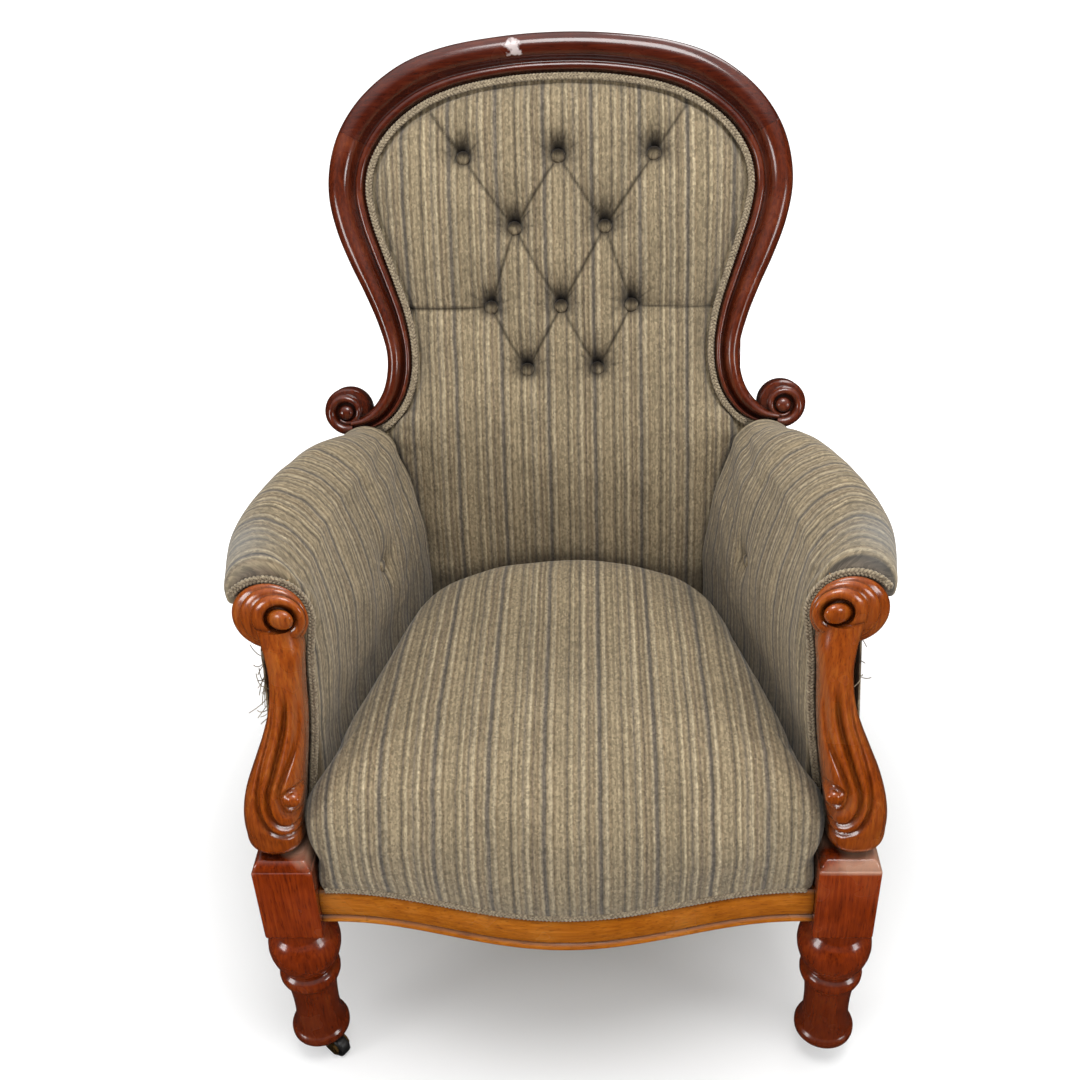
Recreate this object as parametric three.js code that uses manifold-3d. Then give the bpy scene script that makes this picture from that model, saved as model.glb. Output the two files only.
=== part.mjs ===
// A Victorian spoon-back armchair: mahogany show frame, buttoned back, stuffed arms, sprung seat, castors.
// Millimetres, +Z up, the sitter faces -Y. Lengths in Y are counted from the front face of the front legs.
import * as THREE from "three";
import { mergeVertices } from "three/addons/utils/BufferGeometryUtils.js";
import Module from "manifold-3d";

const wasm = await Module();
wasm.setup();

// Driving dimensions: clearances
const GAP = 0.3; // between pieces that touch
const SKIN = 3; // a cover panel: cloth on hessian

// Driving dimensions: castors
const PLATE_RADIUS = 20;
const PLATE_THICK = 3;
const PIVOT_RADIUS = 4;
const PIVOT_HEAD = 6.5;
const PIVOT_HEAD_THICK = 2.5;
const FORK_TOP = 6; // thickness of the fork's crown
const CHEEK = 3; // thickness of each fork cheek
const WHEEL_RADIUS = 13.2;
const WHEEL_WIDTH = 13;
const WHEEL_SIDES = 16;
const AXLE_RADIUS = 3;
const RUNNING = 0.25; // clearance round pins and beside the wheel
const TRAIL = 25; // wheel axle behind the pivot
const CROWN_CLEAR = 2.6; // fork crown above the wheel

// Driving dimensions: front legs and seat rails
const LEG_X = 294;
const BLOCK = 64;
const BLOCK_HEIGHT = 105;
const BLOCK_CHAMFER = 12;
const TURNING = 185; // length of the turned part
const RAIL_BOTTOM_ABOVE_BLOCK = 18;
const RAIL_HEIGHT = 46;
const RAIL_THICK = 28;
const RAIL_SETBACK = 10; // front rail's ends behind the block face
const SERPENTINE = 38; // how far the front rail swells forward
const POST_X = 225;
const POST_WIDTH = 38;
const POST_DEPTH = 29;
const REAR_FOOT_SWEEP = 122; // rear foot behind its post at the rail
const REAR_FOOT = 34;

// Driving dimensions: back
const BACK_RAKE = THREE.MathUtils.degToRad(20);
const BACK_Y = 500; // show frame's plane at the scrolls
const BACK_Z = 600; // height of the scrolls
const BACK_EASE = 0.000238; // below the scrolls the back turns upright
const FRAME_BACK = 30; // frame's depth behind its plane
const FRAME_WIDE = 45;
const FRAME_WAIST = 31;
const FRAME_TAIL = 17;
const FRAME_ROLL = 15; // crown of the moulding in front of the plane
const CREST_JOINT = 0.41; // share of the half hoop that the crest takes
const SCROLL_X = 269;
const SCROLL_RADIUS = 29;
const PAD_BACK = 20; // inside back behind the plane
const PAD_SWELL = 30;
const BUTTON_DEPTH = 17;
const PLEAT_DEPTH = 5;
const BUTTON_RADIUS = 9;
const BUTTON_HEIGHT = 6;

// Driving dimensions: arms
const ARM_OUTER = [327, 338, 331, 317, 299, 285]; // half width over the arms, front to back
const ARM_INNER = [252, 242, 226, 209, 190, 172]; // half width between them at the seat
const ARM_TOP = [650, 655, 650, 638, 626, 611];
const ARM_ROLL = [38, 42, 42, 41, 40, 39]; // radius of the roll on top
const ARM_PAD = 24;
const ARM_RAIL_WIDE = 30;
const ARM_RAIL_INSET = [14, 4.7]; // arm rail inside the middle of the roll, front and back
const ARM_RAIL_TALL = 44;
const ARM_RAIL_DIP = 33; // arm rail drops under the scroll at the back
const SUPPORT_LEAN = 32; // how far the arm support's back leans over its height
const VOLUTE_RADIUS = 36.5;
const EYE_INSET = 22; // volute's eye towards the seat
const EYE_RISE = 18;

// Driving dimensions: seat
const SEAT_HALF = 256;
const SEAT_CROWN = 452;
const SPRING_ROOF = 345; // underside of the stuffing over the springs
const SPRING_RADIUS = 38;
const SPRING_WAIST = 27;
const WIRE = 2;
const WEB_WIDE = 50;
const WEB_THICK = 2;
const GIMP_RADIUS = 4;

// Heights and depths that follow
const AXLE_Z = WHEEL_RADIUS * Math.cos(Math.PI / WHEEL_SIDES); // a flat of the wheel lies on the floor
const CROWN_Z = AXLE_Z + WHEEL_RADIUS + CROWN_CLEAR;
const PLATE_Z = CROWN_Z + GAP;
const LEG_BOTTOM = PLATE_Z + PLATE_THICK + GAP;
const BLOCK_BOTTOM = LEG_BOTTOM + TURNING;
const BLOCK_TOP = BLOCK_BOTTOM + BLOCK_HEIGHT;
const SUPPORT_BOTTOM = BLOCK_TOP + BLOCK_CHAMFER;
const RAIL_BOTTOM = BLOCK_BOTTOM + RAIL_BOTTOM_ABOVE_BLOCK;
const RAIL_TOP = RAIL_BOTTOM + RAIL_HEIGHT;
const LEG_Y = BLOCK / 2;
const RAIL_HALF = LEG_X - BLOCK / 2 - GAP;
const WEB_TOP = RAIL_BOTTOM - GAP;

const wood = (name, color) => new THREE.MeshStandardMaterial({ name, color, roughness: 0.35 });
const cloth = (name, color) => new THREE.MeshStandardMaterial({ name, color, roughness: 0.95 });
const metal = (name, color) =>
  new THREE.MeshStandardMaterial({ name, color, roughness: 0.45, metalness: 0.9 });
const MAHOGANY = wood("mahogany_dark", 0x51201a);
const HONEY = wood("mahogany_honey", 0x93470f);
const BEECH = wood("beech_frame", 0xa98256);
const TWEED = cloth("striped_tweed", 0x8a7b5d);
const BRAID = cloth("braid", 0x8c7763);
const JUTE = cloth("jute_web", 0xa38a5c);
const STEEL = metal("spring_steel", 0x6d6a66);
const BRASS = metal("aged_brass", 0x6b4c2a);
const IRON = metal("black_iron", 0x1c1b1b);

const chair = new THREE.Group();
const v2 = (x, y) => new THREE.Vector2(x, y);
const v3 = (x, y, z) => new THREE.Vector3(x, y, z);
const { lerp, smoothstep, clamp } = THREE.MathUtils;

function add(name, geometry, material, group = chair) {
  const mesh = new THREE.Mesh(geometry, material);
  mesh.name = name;
  group.add(mesh);
  return mesh;
}

// A right-hand piece, and its mirror image on the left
function addPair(name, geometry, material, group = chair) {
  add(name + "_right", geometry, material, group);
  add(name + "_left", geometry, material, group).scale.x = -1;
}

function toSolid(geometry) {
  const bare = new THREE.BufferGeometry();
  bare.setAttribute("position", geometry.getAttribute("position").clone());
  if (geometry.index) bare.setIndex(geometry.index.clone());
  const merged = mergeVertices(bare, 1e-3);
  const mesh = new wasm.Mesh({
    numProp: 3,
    vertProperties: merged.attributes.position.array,
    triVerts: new Uint32Array(merged.index.array),
  });
  return new wasm.Manifold(mesh);
}

function toGeometry(solid) {
  const mesh = solid.getMesh();
  return new THREE.BufferGeometry()
    .setAttribute("position", new THREE.BufferAttribute(new Float32Array(mesh.vertProperties), 3))
    .setIndex(new THREE.BufferAttribute(new Uint32Array(mesh.triVerts), 1));
}

const join = (...pieces) => toGeometry(pieces.map(toSolid).reduce((a, b) => a.add(b)));
const cut = (body, ...tools) => toGeometry(tools.map(toSolid).reduce((a, b) => a.subtract(b), toSolid(body)));

// A closed skin through rings of points, each ring the same length, with flat ends
function loft(rings, fill = endFaces) {
  const count = rings[0].length;
  const points = rings.flat();
  const triangles = [];
  for (let i = 0; i + 1 < rings.length; i++)
    for (let j = 0; j < count; j++) {
      const a = i * count + j;
      const b = i * count + ((j + 1) % count);
      triangles.push(a, b, b + count, a, b + count, a + count);
    }
  const last = (rings.length - 1) * count;
  for (const [p, q, r] of fill(rings[0])) triangles.push(r, q, p);
  for (const [p, q, r] of fill(rings[rings.length - 1])) triangles.push(last + p, last + q, last + r);
  const volume = signedVolume(points, triangles);
  if (volume < 0) triangles.reverse();
  return new THREE.BufferGeometry().setFromPoints(points).setIndex(triangles);
}

// Triangles that fill a ring and turn the same way round, worked out in the plane that it faces most
function endFaces(ring) {
  const facing = v3(0, 0, 0);
  ring.forEach((p, i) => facing.add(v3().crossVectors(p, ring[(i + 1) % ring.length])));
  const [x, y, z] = facing.toArray().map(Math.abs);
  const flat = ring.map((p) => (x > y && x > z ? v2(p.y, p.z) : y > z ? v2(p.x, p.z) : v2(p.x, p.y)));
  const faces = THREE.ShapeUtils.triangulateShape(flat, []);
  return THREE.ShapeUtils.isClockWise(flat) ? faces.map(([a, b, c]) => [c, b, a]) : faces;
}

// Triangles that fill a thin folded ring, from each point to its partner on the way back
function stripFaces(ring) {
  const end = ring.length - 1;
  return steps(ring.length / 2 - 2).flatMap((_, i) => [
    [i, i + 1, end - 1 - i],
    [i, end - 1 - i, end - i],
  ]);
}

function signedVolume(points, triangles) {
  let sum = 0;
  for (let i = 0; i < triangles.length; i += 3) {
    const [a, b, c] = [0, 1, 2].map((k) => points[triangles[i + k]]);
    sum += a.dot(v3().crossVectors(b, c));
  }
  return sum / 6;
}

// Curves that the pieces share
const profile = (values) => {
  const curve = new THREE.SplineCurve(values.map((value, i) => v2(i, value)));
  return (t) => curve.getPoint(clamp(t, 0, 1)).y;
};
const steps = (count) => Array.from({ length: count + 1 }, (_, i) => i / count);
const frontRailY = (x) =>
  RAIL_SETBACK - (SERPENTINE / 2) * (1 + Math.cos((Math.PI * Math.min(Math.abs(x), 250)) / 250));
const backY = (z) =>
  BACK_Y + Math.tan(BACK_RAKE) * (z - BACK_Z) + BACK_EASE * Math.min(0, z - BACK_Z) ** 2;
const postFront = (z) => backY(z) + (FRAME_BACK + GAP) / Math.cos(BACK_RAKE);

// A point on the back: x across, w up the slope from the scrolls, n in front of the frame's plane
function backPoint(x, w, n) {
  const z = BACK_Z + w * Math.cos(BACK_RAKE);
  const lean = Math.atan(Math.tan(BACK_RAKE) + 2 * BACK_EASE * Math.min(0, z - BACK_Z));
  return v3(x, backY(z) - n * Math.cos(lean), z + n * Math.sin(lean));
}

// Half of the spoon hoop from the crown to the scroll: x, w and the width of the moulding
const HOOP = [
  [0, 417.4, FRAME_WIDE],
  [62, 414.5, FRAME_WIDE],
  [129, 403.5, FRAME_WIDE + 2],
  [174, 386.5, FRAME_WIDE + 4],
  [214, 357.5, FRAME_WIDE + 4],
  [238, 327, FRAME_WIDE + 3],
  [250.5, 297, FRAME_WIDE + 1],
  [254.5, 263.5, FRAME_WIDE],
  [248.5, 227, FRAME_WIDE - 1],
  [236, 189.5, FRAME_WIDE - 3],
  [221.5, 152, FRAME_WIDE - 7],
  [208.5, 114, FRAME_WIDE - 10],
  [201, 76, FRAME_WAIST],
  [202.5, 46, FRAME_WAIST - 1],
  [211, 20, FRAME_WAIST - 3],
  [226, 0, FRAME_WAIST - 6],
  [246, -12, FRAME_TAIL + 3],
  [SCROLL_X - 4, -15, FRAME_TAIL],
];
const hoop = new THREE.CatmullRomCurve3(
  [...HOOP.slice(1).reverse().map(([x, w, wide]) => v3(-x, w, wide)), ...HOOP.map((p) => v3(...p))],
  false,
  "centripetal",
);

// A point of the hoop at share u of its length, side t from the outer (-0.5) to the inner edge (0.5)
function hoopPoint(u, t, inset = 0) {
  const middle = hoop.getPointAt(u);
  const along = hoop.getTangentAt(u);
  const out = v2(-along.y, along.x).normalize();
  const shift = -t * middle.z - inset;
  return v2(middle.x + out.x * shift, middle.y + out.y * shift);
}

const MOULDING = [
  [-0.5, -FRAME_BACK],
  [-0.5, -3],
  [-0.44, 7],
  [-0.3, FRAME_ROLL - 2],
  [-0.14, FRAME_ROLL],
  [0.03, FRAME_ROLL - 3],
  [0.19, 4],
  [0.27, 6],
  [0.34, 9],
  [0.43, 7],
  [0.5, 0],
  [0.5, -FRAME_BACK],
];

const hoopPiece = (from, to, count) =>
  loft(
    steps(count).map((s) => {
      const u = lerp(from, to, s);
      return MOULDING.map(([t, n]) => {
        const p = hoopPoint(u, t);
        return backPoint(p.x, p.y, n);
      });
    }),
  );

// A cord or wire of even thickness along a curve
function cord(curve, radius, sides, count) {
  const ring = steps(sides)
    .slice(1)
    .map((s) => v2(Math.cos(s * 2 * Math.PI), Math.sin(s * 2 * Math.PI)).multiplyScalar(radius));
  return new THREE.ExtrudeGeometry(new THREE.Shape(ring), {
    steps: count,
    bevelEnabled: false,
    extrudePath: curve,
  });
}

const turned = (pairs, sides) =>
  new THREE.LatheGeometry(pairs.map(([r, z]) => v2(r, z)), sides).rotateX(Math.PI / 2);

// Show frame: crest rail and two stiles that end in scrolls
const jointGap = GAP / 2 / hoop.getLength();
const joint = 0.5 + CREST_JOINT / 2;
add("crest_rail", hoopPiece(1 - joint + jointGap, joint - jointGap, 26), MAHOGANY);

const onBack = (geometry, x, w) => {
  const position = geometry.getAttribute("position");
  for (let i = 0; i < position.count; i++) {
    const p = backPoint(position.getX(i) + x, position.getY(i) + w, position.getZ(i));
    position.setXYZ(i, p.x, p.y, p.z);
  }
  return geometry;
};
const scrollDisc = turned(
  [
    [0, -FRAME_BACK],
    [SCROLL_RADIUS - 1, -FRAME_BACK],
    [SCROLL_RADIUS, 0],
    [SCROLL_RADIUS - 3, 5],
    [10, 4],
    [8, 10],
    [0, 14],
  ],
  15,
);
const scrollRib = new THREE.CatmullRomCurve3(
  steps(14).map((s) => {
    const angle = -0.5 * Math.PI + s * 2.4 * Math.PI;
    const radius = lerp(SCROLL_RADIUS - 6, 9, s);
    return v3(radius * Math.cos(angle), radius * Math.sin(angle), lerp(8, 5, s));
  }),
);
const stile = join(
  hoopPiece(joint + jointGap, 1, 21),
  onBack(scrollDisc, SCROLL_X, 2),
  onBack(cord(scrollRib, 5, 4, 15), SCROLL_X, 2),
);
addPair("back_stile", stile, MAHOGANY);

// Rear legs, each in one piece with the post that carries the back
const postX = (z) => POST_X - 19 * smoothstep(z, RAIL_TOP, BACK_Z) + 7 * smoothstep(-z, -RAIL_BOTTOM, -LEG_BOTTOM);
const postHalf = (z) => POST_WIDTH / 2 - 4 * smoothstep(z, RAIL_TOP, BACK_Z) - 3 * smoothstep(-z, -RAIL_BOTTOM, 0);
const legDrop = (z) => Math.max(0, RAIL_BOTTOM - z) / (RAIL_BOTTOM - LEG_BOTTOM);
const legFront = (z) =>
  z > RAIL_BOTTOM ? postFront(z) : postFront(RAIL_BOTTOM) + REAR_FOOT_SWEEP * legDrop(z) ** 1.5;
const legDepth = (z) => lerp(POST_DEPTH, REAR_FOOT, Math.sin(Math.PI * 0.5 * legDrop(z)));
const POST_TOP = BACK_Z + 90;
const rearLegLevels = [
  ...steps(6).map((s) => lerp(LEG_BOTTOM, RAIL_BOTTOM, s)),
  ...steps(6).slice(1).map((s) => lerp(RAIL_BOTTOM, POST_TOP, s)),
];
const rearLeg = loft(
  rearLegLevels.map((z) => {
    const [x, half, y, deep] = [postX(z), postHalf(z), legFront(z), legDepth(z)];
    const bevel = 3;
    return [
      v3(x - half + bevel, y, z),
      v3(x + half - bevel, y, z),
      v3(x + half, y + bevel, z),
      v3(x + half, y + deep - bevel, z),
      v3(x + half - bevel, y + deep, z),
      v3(x - half + bevel, y + deep, z),
      v3(x - half, y + deep - bevel, z),
      v3(x - half, y + bevel, z),
    ];
  }),
);
const rearFootY = legFront(LEG_BOTTOM) + REAR_FOOT / 2;
const rearFootX = postX(LEG_BOTTOM);
const pivotHole = (x, y) =>
  new THREE.CylinderGeometry(PIVOT_HEAD + 1, PIVOT_HEAD + 1, 16, 12)
    .rotateX(Math.PI / 2)
    .translate(x, y, LEG_BOTTOM);
addPair("rear_leg", cut(rearLeg, pivotHole(rearFootX, rearFootY)), MAHOGANY);

// Front legs: turned, with a square block for the rails
const squareLevels = [
  [BLOCK_BOTTOM, BLOCK / 2 - 5],
  [BLOCK_BOTTOM + 5, BLOCK / 2],
  [BLOCK_TOP, BLOCK / 2],
  [SUPPORT_BOTTOM, BLOCK / 2 - 6],
];
const block = loft(
  squareLevels.map(([z, h]) => [
    v3(LEG_X - h, LEG_Y - h, z),
    v3(LEG_X + h, LEG_Y - h, z),
    v3(LEG_X + h, LEG_Y + h, z),
    v3(LEG_X - h, LEG_Y + h, z),
  ]),
);
const TURNED_LEG = [
  [0, 0],
  [22, 0],
  [31, 5],
  [33, 13],
  [29, 24],
  [25.5, 34],
  [26, 68],
  [28.5, 90],
  [31, 95],
  [34, 99],
  [34, 109],
  [29, 114],
  [28, 118],
  [33, 124],
  [37, 142],
  [34, 166],
  [29, 175],
  [29, TURNING + 4],
  [0, TURNING + 4],
];
const leg = turned(TURNED_LEG, 16).translate(LEG_X, LEG_Y, LEG_BOTTOM);
addPair("front_leg", cut(join(leg, block), pivotHole(LEG_X, LEG_Y)), HONEY);

// Seat rails
const FRONT_RAIL = [
  [RAIL_THICK, 0],
  [5, 0],
  [0, 2],
  [-1.5, 5],
  [0, 8.5],
  [3, 10],
  [1, 12],
  [-1, 22],
  [-1, 33],
  [1, 41],
  [5, RAIL_HEIGHT],
  [RAIL_THICK, RAIL_HEIGHT],
];
const frontRail = loft(
  steps(22).map((s) => {
    const x = lerp(-RAIL_HALF, RAIL_HALF, s);
    return FRONT_RAIL.map(([y, z]) => v3(x, frontRailY(x) + y, RAIL_BOTTOM + z));
  }),
);
add("front_rail", frontRail, HONEY);

const backRailEnd = (x) => [
  v3(x, postFront(RAIL_BOTTOM), RAIL_BOTTOM),
  v3(x, postFront(RAIL_TOP), RAIL_TOP),
  v3(x, postFront(RAIL_TOP) + POST_DEPTH, RAIL_TOP),
  v3(x, postFront(RAIL_BOTTOM) + POST_DEPTH, RAIL_BOTTOM),
];
const backRailHalf = POST_X - POST_WIDTH / 2 - GAP;
add("back_rail", loft([backRailEnd(-backRailHalf), backRailEnd(backRailHalf)]), BEECH);

const sideRailY = (s, z) => lerp(BLOCK + GAP, postFront(z) - GAP, s);
const sideRailOut = (s) => lerp(LEG_X + RAIL_THICK / 2, POST_X + POST_WIDTH / 2, s);
const upright = (x, yAt, low, high) => [v3(x, yAt(low), low), v3(x, yAt(high), high)];
const slab = (a, b, c, d) => loft([[a[0], a[1], b[1], b[0]], [d[0], d[1], c[1], c[0]]]);
const railSection = (s, low = RAIL_BOTTOM, high = RAIL_TOP, inward = RAIL_THICK) => [
  upright(sideRailOut(s) - inward, (z) => sideRailY(s, z), low, high),
  upright(sideRailOut(s), (z) => sideRailY(s, z), low, high),
];
const sideRail = slab(...railSection(0), ...railSection(1).reverse());
const blockLow = RAIL_TOP - 32;
const blockHigh = RAIL_TOP - 6;
const frontRailBack = (x) => () => frontRailY(x) + RAIL_THICK + GAP;
const backRailFront = (z) => postFront(z) - GAP;
const frontCorner = slab(
  railSection(0.1, blockLow, blockHigh, RAIL_THICK - 4)[0],
  railSection(0.19, blockLow, blockHigh, RAIL_THICK - 4)[0],
  upright(198, frontRailBack(198), blockLow, blockHigh),
  upright(228, frontRailBack(228), blockLow, blockHigh),
);
const rearCorner = slab(
  railSection(0.78, blockLow, blockHigh, RAIL_THICK - 4)[0],
  railSection(0.87, blockLow, blockHigh, RAIL_THICK - 4)[0],
  upright(178, backRailFront, blockLow, blockHigh),
  upright(148, backRailFront, blockLow, blockHigh),
);
addPair("side_rail", join(sideRail, frontCorner, rearCorner), BEECH);

// Arms: each section is drawn across the chair, and runs from the support's back to the frame's plane
const armOuter = profile(ARM_OUTER);
const armInner = profile(ARM_INNER);
const armTop = profile(ARM_TOP);
const armRoll = profile(ARM_ROLL);
const rollX = (t) => armOuter(t) - armRoll(t);
const rollZ = (t) => armTop(t) - armRoll(t);
const railX = (t) => rollX(t) - lerp(...ARM_RAIL_INSET, t);
const supportBack = (z) =>
  BLOCK + SUPPORT_LEAN * Math.max(0, (z - SUPPORT_BOTTOM) / (ARM_TOP[0] - SUPPORT_BOTTOM));
const armFront = (z) => supportBack(z) + GAP;
const armEnd = (z) => backY(z) - FRAME_ROLL - 3;
const armPoint = (x, z, t) => v3(x, lerp(armFront(z), armEnd(z), t), z);
const ARM_LOW = RAIL_TOP + 2;
const armRailTop = (t) => rollZ(t) + 16 - ARM_RAIL_DIP * smoothstep(t, 0.5, 1);
const armFace = (z, t) => {
  const rise = clamp((z - SEAT_CROWN + 20) / (rollZ(t) - SEAT_CROWN + 20), 0, 1);
  return lerp(armInner(t), rollX(t) - armRoll(t), rise) - 5 * Math.sin(Math.PI * rise);
};
const armButtonT = 0.62;
const armLevel = (share) => lerp(ARM_LOW, ARM_TOP[5] - 51, share); // up the arm's inside face
const armButtonZ = armLevel(0.783);
const armDimple = (z, t) => {
  const away = Math.hypot((t - armButtonT) * 330, z - armButtonZ);
  return 9 * Math.exp(-((away / 24) ** 2));
};
const rollEnd = (t) => lerp(-8, -55, smoothstep(t, 0, 0.3)); // where the roll's cloth is tacked, in degrees
const armSection = (t) => {
  const [x, z, r] = [rollX(t), rollZ(t), armRoll(t)];
  const turn = (degrees) => {
    const angle = THREE.MathUtils.degToRad(degrees);
    return [x + r * Math.cos(angle), z + r * Math.sin(angle)];
  };
  const inner = railX(t) - ARM_RAIL_WIDE / 2 - GAP;
  const outer = railX(t) + ARM_RAIL_WIDE / 2 + GAP;
  const levels = [1, 0.892, 0.783, 0.675, 0.566, 0.386, 0.187, 0].map(armLevel);
  const face = levels.map((h) => [armFace(h, t) + armDimple(h, t), h]);
  return [
    ...[0, 1, 2].map((i) => turn(lerp(rollEnd(t), 30, i / 3))),
    ...[30, 60, 90, 120, 150, 175].map(turn),
    ...face,
    [armInner(t) + ARM_PAD, ARM_LOW],
    [armInner(t) + ARM_PAD, levels[4]],
    [Math.min(armFace(levels[1], t) + ARM_PAD, inner), levels[1]],
    [inner, armRailTop(t) + GAP],
    [outer, armRailTop(t) + GAP],
    [outer, turn(rollEnd(t))[1] + 1.6],
  ];
};
const armPad = loft(steps(13).map((t) => armSection(t).map(([x, z]) => armPoint(x, z, t))));

const armButton = armPoint(armFace(armButtonZ, armButtonT) + armDimple(armButtonZ, armButtonT), armButtonZ, armButtonT);
const BUTTON = [
  [0, 0],
  [BUTTON_RADIUS - 2, 0],
  [BUTTON_RADIUS, 2],
  [BUTTON_RADIUS - 4, BUTTON_HEIGHT - 0.8],
  [0, BUTTON_HEIGHT],
];
const POCKET = [
  [0, -GAP],
  [BUTTON_RADIUS + GAP, -GAP],
  [BUTTON_RADIUS + GAP, 25],
  [0, 25],
];
const facingOut = (pairs, point, facing) => {
  const towards = new THREE.Quaternion().setFromUnitVectors(v3(0, 0, 1), facing);
  return turned(pairs, 9).applyQuaternion(towards).translate(point.x, point.y, point.z);
};
const armFacing = v3(-1, -0.22, 0).normalize();
addPair("arm_pad", cut(armPad, facingOut(POCKET, armButton, armFacing)), TWEED);
addPair("arm_button", facingOut(BUTTON, armButton, armFacing), TWEED);

// The wooden rail inside each arm, lapped against the side of the post
const armRailSection = (t) => {
  const [x, high, half] = [railX(t), armRailTop(t), ARM_RAIL_WIDE / 2];
  const low = high - ARM_RAIL_TALL;
  return [armPoint(x - half, low, t), armPoint(x + half, low, t), armPoint(x + half, high, t), armPoint(x - half, high, t)];
};
const armRailLap = armRailSection(1).map((p) => v3(p.x, postFront(p.z) + POST_DEPTH - 2, p.z));
addPair("arm_rail", loft([...steps(13).map(armRailSection), armRailLap]), BEECH);

// Carved arm supports: a reeded stem that leans back into a volute
const SUPPORT = [
  [0, 324, 274, 10],
  [10, 327, 272, 6],
  [34, 329, 269, 2],
  [54, 328, 266, 0],
  [82, 322, 262, 2],
  [110, 311, 258, 8],
  [137, 300, 255, 16],
  [164, 291, 253, 24],
  [190, 286, 252, 32],
  [215, 285, 250, 39],
  [235, 287, 248, 43],
  [262, 292, 252, 50],
];
const stemZ = (rise) => SUPPORT_BOTTOM + GAP + rise;
const stem = loft(
  SUPPORT.map(([rise, outer, inner, front]) => {
    const z = stemZ(rise);
    const [cx, half] = [(outer + inner) / 2, (outer - inner) / 2];
    const [cy, deep] = [(front + supportBack(z)) / 2, (supportBack(z) - front) / 2];
    return steps(12).slice(1).map((s) => {
      const [c, d] = [Math.cos(s * 2 * Math.PI), Math.sin(s * 2 * Math.PI)];
      const soft = (value) => Math.sign(value) * Math.abs(value) ** 0.6;
      return v3(cx + half * soft(c), cy + deep * soft(d), z);
    });
  }),
);
const reed = (share) =>
  cord(
    new THREE.CatmullRomCurve3(
      SUPPORT.slice(2, 11).map(([rise, outer, inner, front]) =>
        v3(lerp(inner, outer, share), front + 3 + 22 * Math.abs(share - 0.5) ** 2, stemZ(rise)),
      ),
    ),
    5.5,
    4,
    9,
  );
const VOLUTE = [
  [0, 30],
  [4, VOLUTE_RADIUS],
  [14, VOLUTE_RADIUS],
  [18, 30.5],
  [27, 30.5],
  [31, 25],
  [38, 23],
  [42, 14],
  [47, 10],
  [50, 4],
];
const voluteX = rollX(0) - 3;
const voluteZ = rollZ(0) - 22;
const volute = loft(
  VOLUTE.map(([forward, r]) =>
    steps(14).slice(1).map((s) => {
      const [c, d] = [Math.cos(s * 2 * Math.PI), Math.sin(s * 2 * Math.PI)];
      const x = voluteX - (EYE_INSET * forward) / 50 + r * c;
      const z = voluteZ + (EYE_RISE * forward) / 50 + r * d;
      return v3(x, supportBack(z) - forward, z);
    }),
  ),
);
const smallEye = turned([[0, -8], [11, -8], [11, 4], [8, 8], [0, 10]], 9)
  .rotateX(Math.PI / 2)
  .translate(274, 8, stemZ(78));
addPair("arm_support", join(stem, volute, smallEye, reed(0.24), reed(0.52), reed(0.8)), HONEY);

// Cloth panels on the outside of the arms and of the back
const frameBack = FRAME_BACK / Math.cos(BACK_RAKE);
const outsideY = (z) =>
  backY(z) + lerp(frameBack + POST_DEPTH + 1, frameBack + 2 * GAP, smoothstep(z, POST_TOP, POST_TOP + 110));
const PANEL_LOW = RAIL_BOTTOM + 2;
const ARM_CLOSE = BACK_Z - 39.5; // cloth that closes the arm under the scroll
const armShare = (armEnd(armButtonZ) - armFront(armButtonZ)) / (outsideY(armButtonZ) - armFront(armButtonZ));
const panelTop = (t) => {
  const along = clamp(t / armShare, 0, 1);
  const underRoll = rollZ(along) + armRoll(along) * Math.sin(THREE.MathUtils.degToRad(rollEnd(along))) - 1.2;
  return t > armShare + 0.06 ? ARM_CLOSE : underRoll;
};
const panelPoint = (t, rise, thick) => {
  const along = clamp(t / armShare, 0, 1);
  const onRail = clamp((t * (outsideY(RAIL_TOP) - BLOCK)) / (postFront(RAIL_TOP) - BLOCK), 0, 1);
  const z = lerp(PANEL_LOW, panelTop(t), rise);
  const upright = Math.min(panelTop(t), rollZ(along) - 0.82 * armRoll(along)) - RAIL_TOP - 14;
  const lean = clamp((z - RAIL_TOP - 14) / upright, 0, 1);
  const x = lerp(sideRailOut(onRail), railX(along) + ARM_RAIL_WIDE / 2 + 2.5, lean) + 2 * GAP;
  return v3(x + thick, lerp(armFront(z), outsideY(z) - 3 * GAP, t), z);
};
const panelStations = [...steps(8).map((s) => s * armShare), armShare + 0.04, armShare + 0.065, 1];
const panelSide = loft(
  steps(6).map((rise) => [
    ...panelStations.map((t) => panelPoint(t, rise, 0)),
    ...[...panelStations].reverse().map((t) => panelPoint(t, rise, SKIN)),
  ]),
  stripFaces,
);
const flapEdge = (t, z) => [
  v3(railX(1) - ARM_RAIL_WIDE / 2, lerp(armFront(z), outsideY(z) - 3 * GAP, t), z),
  v3(railX(1) + ARM_RAIL_WIDE / 2 + 4, lerp(armFront(z), outsideY(z) - 3 * GAP, t), z),
];
const flapSection = (t) => [...flapEdge(t, ARM_CLOSE - SKIN), ...flapEdge(t, ARM_CLOSE).reverse()];
addPair("outside_arm", join(panelSide, loft([flapSection(armShare + 0.065), flapSection(1)])), TWEED);

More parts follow.
